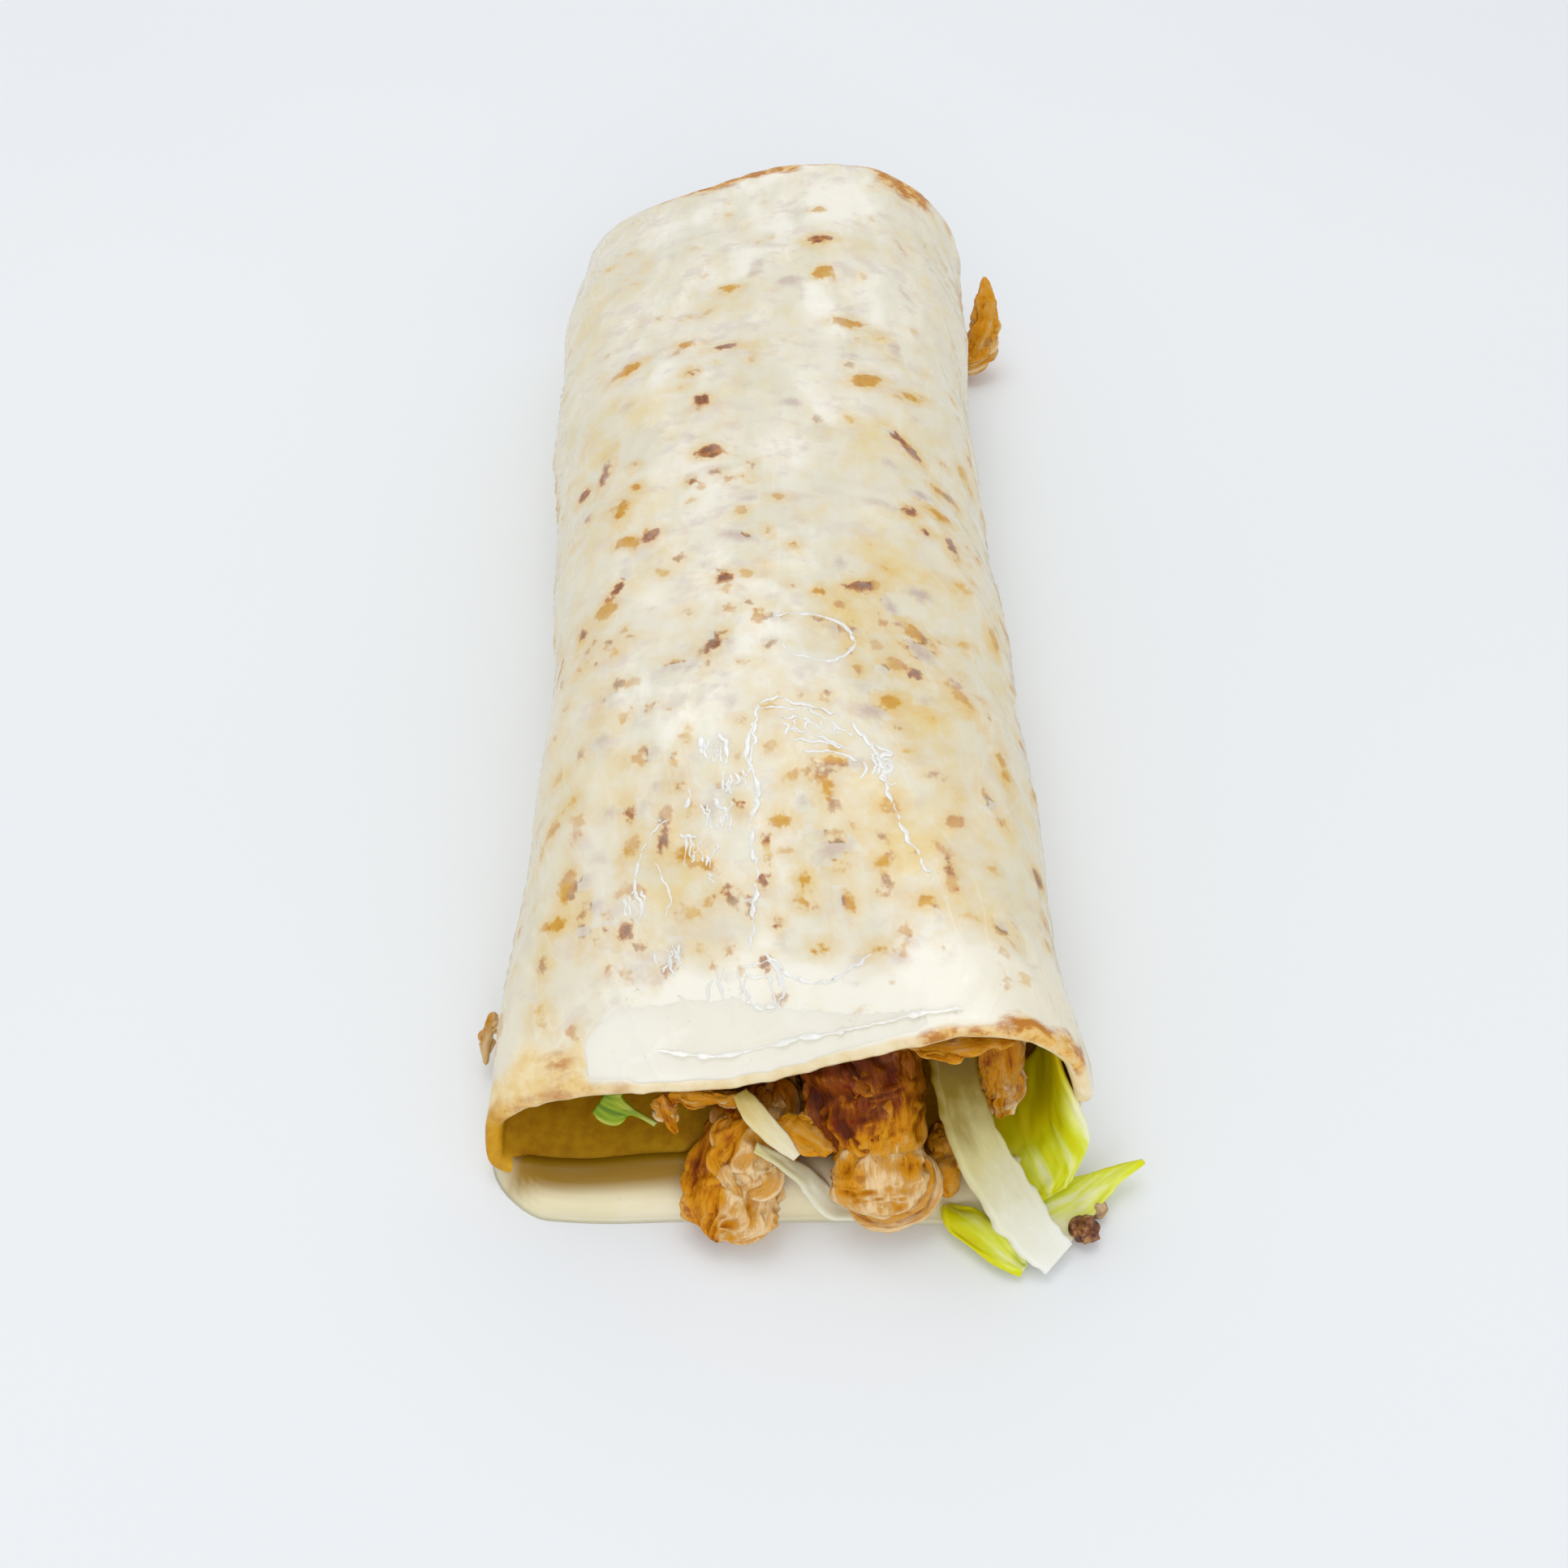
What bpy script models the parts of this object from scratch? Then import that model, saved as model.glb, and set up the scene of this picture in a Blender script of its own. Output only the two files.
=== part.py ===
"""A burrito: a soft flour tortilla rolled round chicken and lettuce, open at both ends.

The roll lies along +Y with its mouth at -Y, and rests on the flattened underside at Z = 0.
The sheet goes once round and overlaps itself below. Its mouth is squashed low on the left,
over an empty pocket, and stands open on the right, where chicken and lettuce come out.
All sizes are in millimetres and become metres when a mesh is made.
"""

import bmesh
import bpy
import numpy as np

MM = 0.001
GAP = 0.45                  # air between pieces that lie against each other

# ---------------------------------------------------------------- tortilla, driving sizes
SHEET = 2.4                 # thickness of the tortilla
MOUTH_Y = -98.0             # upper lip of the mouth
FAR_Y = 98.0                # upper edge of the far end
FLAP = 8.0                  # outer layer's edge lies this far left of the middle of the base
TUCK = 14.0                 # inner layer's edge lies this far right of it
CLIMB = (30.0, 11.0)        # the sheet climbs onto its own outer layer between these, left of it
TOP_POWER = 2.6             # superellipse powers of the upper and lower half of a section
BASE_POWER = 3.6
SINK = 0.8                  # how far the section's underside is pressed flat
FLARE = 0.3                 # how far the lip's right corner curls outwards
AROUND = 50                 # points round the sheet, and along it
ALONG = 23

# One section of the roll each: y, left and right side, height of the left and right fold,
# crown height over the left and over the right, and where the crown's rise starts and ends.
SECTIONS = np.array([
    (MOUTH_Y, -39.0, 41.5, 6.0, 15.0, 19.5, 40.5, -14.0, 44.0),
    (-80.0, -37.4, 40.2, 11.0, 16.0, 31.0, 41.0, -16.0, 42.0),
    (-55.0, -34.6, 38.4, 16.0, 18.0, 39.5, 43.0, -22.0, 38.0),
    (-10.0, -36.8, 36.9, 17.0, 18.0, 43.0, 43.0, -28.0, 34.0),
    (35.0, -40.4, 35.8, 17.0, 18.0, 41.5, 43.5, -30.0, 28.0),
    (70.0, -43.0, 36.4, 16.0, 18.0, 39.0, 44.0, -34.0, 22.0),
    (FAR_Y, -41.8, 36.6, 15.0, 18.0, 36.0, 44.5, -36.0, 20.0),
])

# ---------------------------------------------------------------- filling, driving sizes
POCKET_BACK = -66.0         # the empty pocket behind the mouth's left half ends here
FILL_FRONT = -84.0          # near face of the filling
FILL_BACK = 94.0
SPLIT_X = 20.0              # chicken lies left of this, lettuce right of it
POCKET_X = -8.0             # the chicken's left side beside the pocket

CHICKEN = (0.62, 0.33, 0.12)
GREEN = (0.45, 0.55, 0.06)
PALE = (0.72, 0.74, 0.50)


# ---------------------------------------------------------------- helpers
def smoothstep(low, high, value):
    """Goes from 0 at low to 1 at high with level ends."""
    t = np.clip((value - low) / (high - low), 0.0, 1.0)
    return t * t * (3.0 - 2.0 * t)


def through(knots, values, at):
    """Smooth cubic through the values at the knots, read at the places given."""
    at = np.clip(at, knots[0], knots[-1])
    slope = np.gradient(values, knots, axis=0)
    i = np.clip(np.searchsorted(knots, at) - 1, 0, len(knots) - 2)
    step = knots[i + 1] - knots[i]
    t = (at - knots[i]) / step
    if values.ndim > 1:
        t = t[:, None]
        step = step[:, None]
    return ((2 * t**3 - 3 * t**2 + 1) * values[i] + (t**3 - 2 * t**2 + t) * step * slope[i]
            + (3 * t**2 - 2 * t**3) * values[i + 1] + (t**3 - t**2) * step * slope[i + 1])


def unit(vectors):
    """Vectors of length 1 along the last axis."""
    return vectors / np.maximum(np.linalg.norm(vectors, axis=-1, keepdims=True), 1e-9)


def material(name, colour, roughness):
    """A plain Principled finish."""
    made = bpy.data.materials.new(name)
    made.use_nodes = True
    shader = made.node_tree.nodes["Principled BSDF"]
    shader.inputs["Base Color"].default_value = (*colour, 1.0)
    shader.inputs["Roughness"].default_value = roughness
    shader.inputs["Metallic"].default_value = 0.0
    return made


def place(name, points, faces, colour, roughness=0.5):
    """Makes one closed node from points in millimetres, with its faces pointing out."""
    mesh = bpy.data.meshes.new(name)
    mesh.from_pydata((np.asarray(points) * MM).tolist(), [], faces)
    shell = bmesh.new()
    shell.from_mesh(mesh)
    bmesh.ops.recalc_face_normals(shell, faces=shell.faces)
    shell.to_mesh(mesh)
    shell.free()
    mesh.shade_smooth()
    mesh.set_sharp_from_angle(angle=0.9)
    mesh.materials.append(material(name, colour, roughness))
    node = bpy.data.objects.new(name, mesh)
    bpy.context.collection.objects.link(node)
    return node


def slab(name, front, back, colour, roughness=0.5):
    """A sheet with thickness: two matching grids of points, closed round their rim."""
    rows, columns = front.shape[:2]
    points = np.concatenate([front.reshape(-1, 3), back.reshape(-1, 3)])
    grid = np.arange(rows * columns).reshape(rows, columns)
    other = grid + rows * columns
    faces = []
    for i in range(rows - 1):
        for j in range(columns - 1):
            faces.append((grid[i, j], grid[i, j + 1], grid[i + 1, j + 1], grid[i + 1, j]))
            faces.append((other[i, j], other[i + 1, j], other[i + 1, j + 1], other[i, j + 1]))
    rim = ([(0, j) for j in range(columns)] + [(i, columns - 1) for i in range(1, rows)]
           + [(rows - 1, j) for j in range(columns - 2, -1, -1)]
           + [(i, 0) for i in range(rows - 2, 0, -1)])
    for here, after in zip(rim, rim[1:] + rim[:1]):
        faces.append((grid[here], other[here], other[after], grid[after]))
    faces = [tuple(int(k) for k in face) for face in faces]
    return place(name, points, faces, colour, roughness)


def loft(name, rings, colour, roughness=0.5):
    """A closed body through rings of points, with a fan of faces over its first and last."""
    count, around = rings.shape[:2]
    points = np.concatenate([rings.reshape(-1, 3), rings[:1].mean(axis=1), rings[-1:].mean(axis=1)])
    faces = []
    for i in range(count - 1):
        for j in range(around):
            after = (j + 1) % around
            faces.append((i * around + j, i * around + after,
                          (i + 1) * around + after, (i + 1) * around + j))
    for pole, ring in ((count * around, 0), (count * around + 1, count - 1)):
        for j in range(around):
            faces.append((pole, ring * around + j, ring * around + (j + 1) % around))
    return place(name, points, faces, colour, roughness)


def frames(path):
    """Direction, sideways and upward unit vectors along a path."""
    ahead = unit(np.gradient(path, axis=0))
    side = unit(np.cross(ahead, (0.0, 0.0, 1.0)))
    return ahead, side, np.cross(side, ahead)


def lump(name, spine, sizes, colour, rows=9, around=10, knobs=0.10, phase=0.0):
    """A torn piece of meat: oval rings along a smooth spine, waved in and out.

    sizes gives each spine point's half width and half height. The rings close to points as
    the fourth-power oval does, and knobs is the depth of the waves as a share of the radius.
    """
    spine = np.array(spine, float)
    sizes = np.array(sizes, float)
    knots = np.linspace(0.0, 1.0, len(spine))
    t = 0.5 - 0.5 * np.cos(np.linspace(0.08, 1.0 - 0.08, rows) * np.pi)
    middle = through(knots, spine, t)
    radius = through(knots, sizes, t) * (1.0 - (2.0 * t[:, None] - 1.0)**4)**0.5
    _, side, up = frames(middle)
    angle = np.linspace(0.0, 2.0 * np.pi, around, endpoint=False)
    wave = 1.0 + knobs * (np.sin(3.0 * angle[None, :] + 7.0 * t[:, None] + phase)
                          + 0.6 * np.sin(5.0 * angle[None, :] - 9.0 * t[:, None] + 2.0 * phase))
    across = (radius[:, :1] * np.cos(angle) * wave)[..., None] * side[:, None, :]
    upward = (radius[:, 1:] * np.sin(angle) * wave)[..., None] * up[:, None, :]
    return loft(name, middle[:, None, :] + across + upward, colour)


def ribbon(name, spine, widths, thickness, tilts, colour, rows=9, columns=4, ruffle=0.0, phase=0.0):
    """A strip of leaf: a flat band along a smooth spine, turned about it by tilts in degrees.

    ruffle lifts the band's edges in waves, in millimetres.
    """
    spine = np.array(spine, float)
    knots = np.linspace(0.0, 1.0, len(spine))
    t = np.linspace(0.0, 1.0, rows)
    middle = through(knots, spine, t)
    width = through(knots, np.array(widths, float), t)
    tilt = np.radians(through(knots, np.array(tilts, float), t))
    _, side, up = frames(middle)
    across = np.cos(tilt)[:, None] * side + np.sin(tilt)[:, None] * up
    normal = np.cos(tilt)[:, None] * up - np.sin(tilt)[:, None] * side
    v = np.linspace(-1.0, 1.0, columns)
    lift = ruffle * v[None, :] * np.sin(2.5 * np.pi * t[:, None] + phase + 0.8 * v[None, :])
    sheet = (middle[:, None, :] + (0.5 * width[:, None] * v)[..., None] * across[:, None, :]
             + lift[..., None] * normal[:, None, :])
    half = 0.5 * thickness * normal[:, None, :]
    return slab(name, sheet + half, sheet - half, colour)


# ---------------------------------------------------------------- the roll's shape
def section(y):
    """The roll's closed outline at one y, from the middle of its base round by the right.

    The upper half is a superellipse from the fold up to the crown, whose height changes
    from left to right. The lower half goes down from the fold and is pressed flat at zero.
    """
    station = through(SECTIONS[:, 0], SECTIONS[:, 1:], np.array([y]))[0]
    left, right, fold_left, fold_right, crown_left, crown_right, rise_from, rise_to = station
    angle = np.linspace(-0.5 * np.pi, 1.5 * np.pi, 721)
    power = np.where(np.sin(angle) >= 0.0, TOP_POWER, BASE_POWER)
    u = np.sign(np.cos(angle)) * np.abs(np.cos(angle))**(2.0 / power)
    v = np.sign(np.sin(angle)) * np.abs(np.sin(angle))**(2.0 / power)
    x = 0.5 * (left + right) + 0.5 * (right - left) * u
    fold = fold_left + (fold_right - fold_left) * 0.5 * (u + 1.0)
    crown = crown_left + (crown_right - crown_left) * smoothstep(rise_from, rise_to, x)
    z = np.where(v >= 0.0, fold + (crown - fold) * v, fold + (fold + SINK) * v)
    return x, np.maximum(z, 0.0)


def wrapped(y, share):
    """Points and outward normals of the sheet's outer face at one y.

    share runs from 0 at the outer flap's edge to 1 at the tucked edge. The sheet follows the
    outline, and the end of it lies one thickness and a gap inside, on its own first layer.
    """
    x, z = section(y)
    arc = np.concatenate([[0.0], np.cumsum(np.hypot(np.diff(x), np.diff(z)))])
    girth = arc[-1]
    along = -FLAP + share * (girth + FLAP + TUCK)
    here = np.mod(along, girth)
    near = 0.6

    def read(at):
        at = np.mod(at, girth)
        return np.stack([np.interp(at, arc, x), np.interp(at, arc, z)], axis=-1)

    ahead = unit(read(here + near) - read(here - near))
    normal = np.stack([ahead[:, 1], -ahead[:, 0]], axis=-1)
    inset = (SHEET + GAP) * smoothstep(girth - CLIMB[0], girth - CLIMB[1], along)
    spot = read(here)
    swell = 0.7 * np.sin(0.11 * y + 0.07 * along) * np.sin(0.05 * y - 0.09 * along + 1.0)
    swell = swell * smoothstep(4.0, 14.0, spot[:, 1])
    corner = smoothstep(34.0, 40.0, spot[:, 0]) * smoothstep(12.0, 19.0, spot[:, 1])
    flare = FLARE * corner * smoothstep(MOUTH_Y + 12.0, MOUTH_Y, y)
    return spot + (swell + flare - inset)[:, None] * normal, normal, along > girth - CLIMB[1]


def edges(share):
    """Where each line of the sheet starts at the mouth and ends at the far end.

    The lower layer reaches out past the lip, the right corner hangs out as a small tip, and
    the far end is cut back low on the right.
    """
    spot, _, inner = wrapped(MOUTH_Y, share)
    x, z = spot[:, 0], spot[:, 1]
    low = smoothstep(9.0, 2.0, z)
    tip = smoothstep(38.0, 41.0, x) * smoothstep(14.0, 18.0, z) * smoothstep(27.0, 22.0, z)
    back = smoothstep(36.0, 39.0, x) * smoothstep(19.0, 17.0, z)
    mouth = MOUTH_Y - 3.6 * low * smoothstep(-9.0, -14.0, x) - 1.2 * tip + 1.2 * back
    mouth = np.where(inner, MOUTH_Y + 1.5, mouth)
    spot, _, inner = wrapped(FAR_Y, share)
    x, z = spot[:, 0], spot[:, 1]
    far = FAR_Y - 9.0 * smoothstep(26.0, 34.0, x) * smoothstep(17.0, 8.0, z)
    far = far + 2.4 * np.exp(-((x + 3.0) / 11.0)**2) * smoothstep(20.0, 30.0, z)
    far = np.where(inner, FAR_Y - 3.0, far)
    return mouth, far


def tortilla():
    """The rolled sheet, as two matching grids: its outer face and, one thickness in, its inner."""
    share = np.linspace(0.0, 1.0, AROUND)
    mouth, far = edges(share)
    stations = np.linspace(MOUTH_Y - 5.0, FAR_Y, 130)
    outer_at = []
    inner_at = []
    for y in stations:
        spot, normal, _ = wrapped(y, share)
        outer_at.append(spot)
        inner_at.append(spot - SHEET * normal)
    outer_at = np.array(outer_at)
    inner_at = np.array(inner_at)
    faces = []
    for table in (outer_at, inner_at):
        grid = np.zeros((AROUND, ALONG, 3))
        for i in range(AROUND):
            y = np.linspace(mouth[i], far[i], ALONG)
            grid[i, :, 0] = np.interp(y, stations, table[:, i, 0])
            grid[i, :, 1] = y
            grid[i, :, 2] = np.interp(y, stations, table[:, i, 1])
        faces.append(grid)
    return slab("tortilla", faces[0], faces[1], (0.80, 0.70, 0.52), 0.45)


def room(y, x):
    """Floor and ceiling of the space inside the sheet at one y, over the given x."""
    share = np.linspace(0.0, 1.0, 400)
    spot, normal, inner = wrapped(y, share)
    wall = spot - (SHEET + GAP) * normal
    top = wall[(normal[:, 1] > 0.0) & ~inner]
    base = wall[normal[:, 1] <= 0.0]
    order = np.argsort(top[:, 0])
    ceiling = np.interp(x, top[order, 0], top[order, 1])
    reach = max(2.0, np.ptp(x) / max(len(x) - 1, 1))
    floor = np.array([base[np.abs(base[:, 0] - value) < reach, 1].max(initial=SHEET + GAP)
                      for value in x])
    return floor, ceiling, top[:, 0].min(), top[:, 0].max()


def filling(name, left_of, right_of, front, colour, columns=9, rows=12, phase=0.0):
    """One heap of filling that runs through the roll, between two upright sides.

    Each ring goes right along the floor of the space and back left along its ceiling. The
    ends are uneven, and the ceiling side sinks in low waves under the sheet.
    """
    rings = []
    for step, y in enumerate(np.linspace(front, FILL_BACK, rows)):
        _, _, low_x, high_x = room(y, np.array([0.0]))
        x = np.linspace(max(left_of(y), low_x + 1.2), min(right_of(y), high_x - 1.2), columns)
        floor, ceiling, _, _ = room(y, x)
        wave = 0.5 + 0.5 * np.sin(0.23 * x + 0.11 * y + phase)
        thick = np.maximum(ceiling - floor, 2.0)
        ceiling = floor + thick * (0.97 - 0.05 * wave)
        end = 2.2 * np.sin(0.9 * x + phase) if step in (0, rows - 1) else np.zeros_like(x)
        bottom = np.stack([x, y + end, floor + 0.15], axis=-1)
        top = np.stack([x, y - 0.7 * end, ceiling], axis=-1)[::-1]
        rings.append(np.concatenate([bottom, top]))
    return loft(name, np.array(rings), colour, 0.6)


def chicken_left(y):
    """The chicken's left side: beside the pocket at the mouth, then out to the wall."""
    return POCKET_X - 40.0 * smoothstep(POCKET_BACK, POCKET_BACK + 14.0, y)


def fillings():
    """Chicken in the middle and left, lettuce down the right side, both from end to end."""
    filling("chicken_filling", chicken_left, lambda y: SPLIT_X - 0.5 * GAP, FILL_FRONT,
            CHICKEN, columns=9, phase=0.4)
    filling("lettuce_filling", lambda y: SPLIT_X + 0.5 * GAP, lambda y: 60.0, FILL_FRONT,
            GREEN, columns=5, phase=1.7)


# ---------------------------------------------------------------- what shows in the mouth
def chicken_pieces():
    """Torn chicken: two large pieces that lean out of the mouth, and shreds under the lip."""
    lump("chicken_chunk_left",
         [(0.6, -87.0, 11.6), (-1.2, -96.6, 10.6), (-4.4, -103.6, 6.5), (-6.6, -111.3, 3.3)],
         [(4.2, 3.6), (5.0, 4.4), (6.5, 4.9), (7.6, 3.0)], (0.66, 0.36, 0.16), phase=0.5)
    lump("chicken_chunk_centre",
         [(12.6, -86.4, 20.6), (12.2, -92.0, 18.2), (14.2, -99.8, 11.2), (15.0, -106.4, 6.0)],
         [(7.8, 5.6), (8.8, 6.0), (6.9, 5.8), (6.0, 4.6)], (0.55, 0.22, 0.09), phase=1.3)
    lump("chicken_flap",
         [(3.8, -100.6, 14.5), (5.6, -102.3, 14.4), (7.9, -104.8, 14.0)],
         [(1.4, 0.7), (2.2, 0.9), (1.5, 0.7)], (0.68, 0.38, 0.14), rows=6, around=8, phase=2.1)
    lump("chicken_shred_lip",
         [(-10.6, -96.9, 15.0), (-8.6, -97.1, 15.1), (-6.2, -97.3, 15.2), (-4.2, -97.5, 15.7)],
         [(0.8, 1.6), (0.9, 2.0), (0.8, 1.5), (0.5, 0.7)], (0.72, 0.36, 0.10), rows=7, around=8)
    lump("chicken_shred_tooth",
         [(-13.6, -97.0, 14.4), (-12.6, -98.4, 12.2), (-11.6, -99.4, 9.4)],
         [(1.8, 0.9), (1.6, 0.9), (0.8, 0.6)], (0.68, 0.36, 0.14), rows=5, around=8)
    lump("chicken_shred_top",
         [(16.6, -92.5, 27.2), (20.5, -95.6, 27.4), (25.5, -96.2, 28.8), (31.5, -95.6, 28.4)],
         [(1.6, 0.8), (2.2, 0.9), (2.2, 0.9), (1.2, 0.7)], (0.70, 0.38, 0.12), rows=7, around=8)
    lump("chicken_shred_right",
         [(29.4, -87.5, 24.8), (30.0, -91.5, 22.2), (30.6, -95.4, 16.8), (31.0, -97.6, 11.4)],
         [(2.4, 1.5), (3.2, 1.8), (3.2, 1.7), (1.6, 1.2)], (0.70, 0.42, 0.18), phase=0.9)
    lump("chicken_wedge_low",
         [(23.4, -95.6, 6.8), (23.6, -100.4, 5.4), (24.2, -105.2, 3.4)],
         [(2.2, 2.6), (2.9, 3.2), (2.4, 2.5)], (0.72, 0.44, 0.16), rows=7, around=8, phase=1.1)
    lump("chicken_shred_far",
         [(33.2, 96.0, 5.2), (37.8, 90.2, 3.6), (41.2, 88.8, 3.8), (43.4, 91.6, 8.2),
          (43.8, 95.0, 13.2), (43.2, 98.4, 18.4)],
         [(1.6, 1.6), (2.0, 2.0), (2.6, 2.6), (2.6, 2.2), (2.4, 1.8), (1.8, 1.0)],
         (0.78, 0.42, 0.04), rows=10, around=8, phase=0.3)
    lump("chicken_shred_side",
         [(-40.0, -78.8, 7.2), (-40.9, -81.6, 5.4), (-41.0, -85.2, 3.0)],
         [(0.9, 1.2), (1.2, 1.6), (0.7, 0.9)], (0.80, 0.52, 0.20), rows=5, around=6)
    lump("crumb",
         [(41.8, -110.6, 1.7), (42.3, -109.2, 2.2), (43.3, -107.5, 2.1)],
         [(1.2, 1.3), (1.8, 1.8), (1.2, 1.3)], (0.20, 0.09, 0.05), rows=6, around=8, phase=0.8)


def lettuce_leaf():
    """The green leaf: upright along the right wall inside, lying down where it comes out.

    Three lines run from the filling outwards: the leaf's upper rim along the wall and over
    the mouth's edge, its middle along the corner of wall and floor, and its lower rim under
    the rib. Across, each line of the leaf is the parabola through them.
    """
    rim = np.array([(34.6, -87.4, 22.5), (36.6, -92.4, 19.4), (37.4, -96.0, 17.7),
                    (39.0, -98.9, 16.6), (41.6, -99.6, 12.6), (42.2, -100.0, 9.0),
                    (41.4, -101.6, 5.6), (40.8, -102.4, 3.4)])
    middle = np.array([(36.4, -87.2, 11.5), (36.9, -92.2, 9.6), (37.2, -96.2, 8.4),
                       (37.8, -99.0, 7.4), (38.6, -101.2, 5.8), (39.0, -102.6, 4.4),
                       (38.6, -103.6, 3.3), (38.2, -104.6, 2.9)])
    hem = np.array([(29.6, -87.2, 5.9), (29.8, -92.0, 5.2), (30.4, -96.0, 4.8),
                    (31.2, -99.0, 4.4), (31.6, -101.6, 3.8), (32.2, -103.4, 3.2),
                    (33.4, -105.4, 2.9), (34.6, -107.2, 2.7)])
    knots = np.linspace(0.0, 1.0, len(rim))
    out = np.linspace(0.0, 1.0, 12)
    rim, middle, hem = (through(knots, line, out)[:, None, :] for line in (rim, middle, hem))
    down = np.linspace(0.0, 1.0, 8)[None, :, None]
    leaf = (rim * (1.0 - down) * (1.0 - 2.0 * down) + 4.0 * middle * down * (1.0 - down)
            + hem * down * (2.0 * down - 1.0))
    normal = unit(np.cross(np.gradient(leaf, axis=0), np.gradient(leaf, axis=1)))
    slab("lettuce_leaf", leaf + 0.45 * normal, leaf - 0.45 * normal, GREEN)


def lettuce_strips():
    """The thick white rib, the leaf's tip and ruffle, and the thin strips."""
    ribbon("lettuce_rib",
           [(22.6, -92.0, 25.2), (24.6, -98.4, 19.4), (28.2, -103.8, 12.2), (33.0, -108.6, 6.0),
            (38.4, -113.2, 1.9)],
           [6.0, 6.6, 7.4, 7.6, 5.4], 1.8, [10, 4, 0, -4, -8], PALE, rows=11)
    ribbon("lettuce_tail",
           [(38.4, -105.6, 1.2), (42.4, -104.0, 2.0), (46.8, -101.8, 3.2), (51.2, -100.0, 4.2)],
           [3.6, 4.2, 3.0, 0.8], 0.9, [0, 6, 14, 20], GREEN, rows=7, ruffle=0.2)
    ribbon("lettuce_curl",
           [(24.4, -104.9, 1.3), (27.6, -107.8, 1.9), (31.0, -111.4, 2.0), (34.4, -115.0, 1.1)],
           [2.4, 4.2, 4.2, 2.6], 0.8, [0, -6, -8, 0], GREEN, rows=11, ruffle=0.5, phase=0.6)
    ribbon("lettuce_strip_cream",
           [(-4.0, -97.4, 17.5), (-2.2, -99.4, 16.4), (0.9, -101.8, 14.3), (3.6, -103.6, 12.3)],
           [2.2, 3.0, 2.8, 1.2], 0.9, [0, -10, -20, -30], PALE, rows=7)
    ribbon("lettuce_strip_clear",
           [(-1.9, -103.5, 13.9), (1.2, -104.1, 11.6), (4.8, -104.2, 6.6), (8.2, -106.0, 2.3),
            (11.6, -106.8, 1.0)],
           [1.4, 2.0, 3.0, 3.4, 1.6], 0.8, [-10, -20, -20, -8, 0], PALE, rows=7)
    ribbon("lettuce_bit_left",
           [(-15.4, -98.0, 9.6), (-18.2, -97.0, 10.8), (-20.6, -96.4, 11.4), (-23.6, -96.0, 11.6)],
           [0.9, 1.2, 4.4, 4.8], 0.8, [60, 62, 66, 68], GREEN, rows=7)


def build():
    """Clears the scene and makes every piece."""
    for old in list(bpy.data.objects):
        bpy.data.objects.remove(old, do_unlink=True)
    tortilla()
    fillings()
    chicken_pieces()
    lettuce_leaf()
    lettuce_strips()


build()
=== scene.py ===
# %% [markdown]
# # A burrito under cream sauce
# A soft flour tortilla is rolled round torn chicken and lettuce, and a thin pale sauce is
# poured over it. This lesson loads the solids that fix every size and place, and then gives
# each of them its real surface. The sizes are in millimetres until a mesh is made.

# %% Load the frame
from math import radians

import bpy
import numpy as np
from mathutils import Matrix, Vector


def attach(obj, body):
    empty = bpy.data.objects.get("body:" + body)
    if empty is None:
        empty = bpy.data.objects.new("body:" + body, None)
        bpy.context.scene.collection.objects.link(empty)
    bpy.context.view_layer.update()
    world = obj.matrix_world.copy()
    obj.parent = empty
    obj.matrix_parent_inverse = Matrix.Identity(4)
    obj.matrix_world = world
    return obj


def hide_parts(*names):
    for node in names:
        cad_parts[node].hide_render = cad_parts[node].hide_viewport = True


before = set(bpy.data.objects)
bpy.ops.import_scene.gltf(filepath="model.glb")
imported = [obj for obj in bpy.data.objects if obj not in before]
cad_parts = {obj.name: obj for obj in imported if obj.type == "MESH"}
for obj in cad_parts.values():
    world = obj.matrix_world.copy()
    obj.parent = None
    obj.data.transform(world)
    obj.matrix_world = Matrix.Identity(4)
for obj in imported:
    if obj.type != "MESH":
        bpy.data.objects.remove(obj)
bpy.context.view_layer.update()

MM = 0.001


# %% [markdown]
# ## Camera, light and floor
# The roll is looked at from a little above its open mouth, so the near end is large and the
# far end runs away. A 36 mm lens on a 36 mm sensor does that at about 28 cm. The light is
# that of a bright white room: an even white world, and one large soft box high up behind the
# roll, which draws the glints on the wet sauce. Standard colour keeps the whites clean.

# %% Camera
EYE = (1.46, -201.55, 200.07)
LOOK_DOWN = 49.18
ROLL = 0.5


def turn(degrees, axis):
    """A 4 x 4 turning matrix about one axis."""
    return Matrix.Rotation(radians(degrees), 4, axis)


lens = bpy.data.cameras.new("camera")
lens.sensor_width = 36.0
lens.lens = 36.0
lens.clip_start = 0.005
camera = bpy.data.objects.new("camera", lens)
camera.matrix_world = (Matrix.Translation([value * MM for value in EYE])
                       @ turn(90.0 - LOOK_DOWN, "X") @ turn(ROLL, "Z"))
bpy.context.collection.objects.link(camera)
bpy.context.scene.camera = camera
bpy.context.scene.view_settings.view_transform = "Standard"
print("camera", [round(value) for value in EYE], "mm, looking down", LOOK_DOWN, "degrees")

# %% Light
WORLD_WHITE = (0.99, 0.995, 1.0, 1.0)
WORLD_STRENGTH = 0.70

world = bpy.data.worlds.new("room")
world.use_nodes = True
sky = world.node_tree.nodes["Background"]
sky.inputs["Color"].default_value = WORLD_WHITE
sky.inputs["Strength"].default_value = WORLD_STRENGTH
bpy.context.scene.world = world


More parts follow.
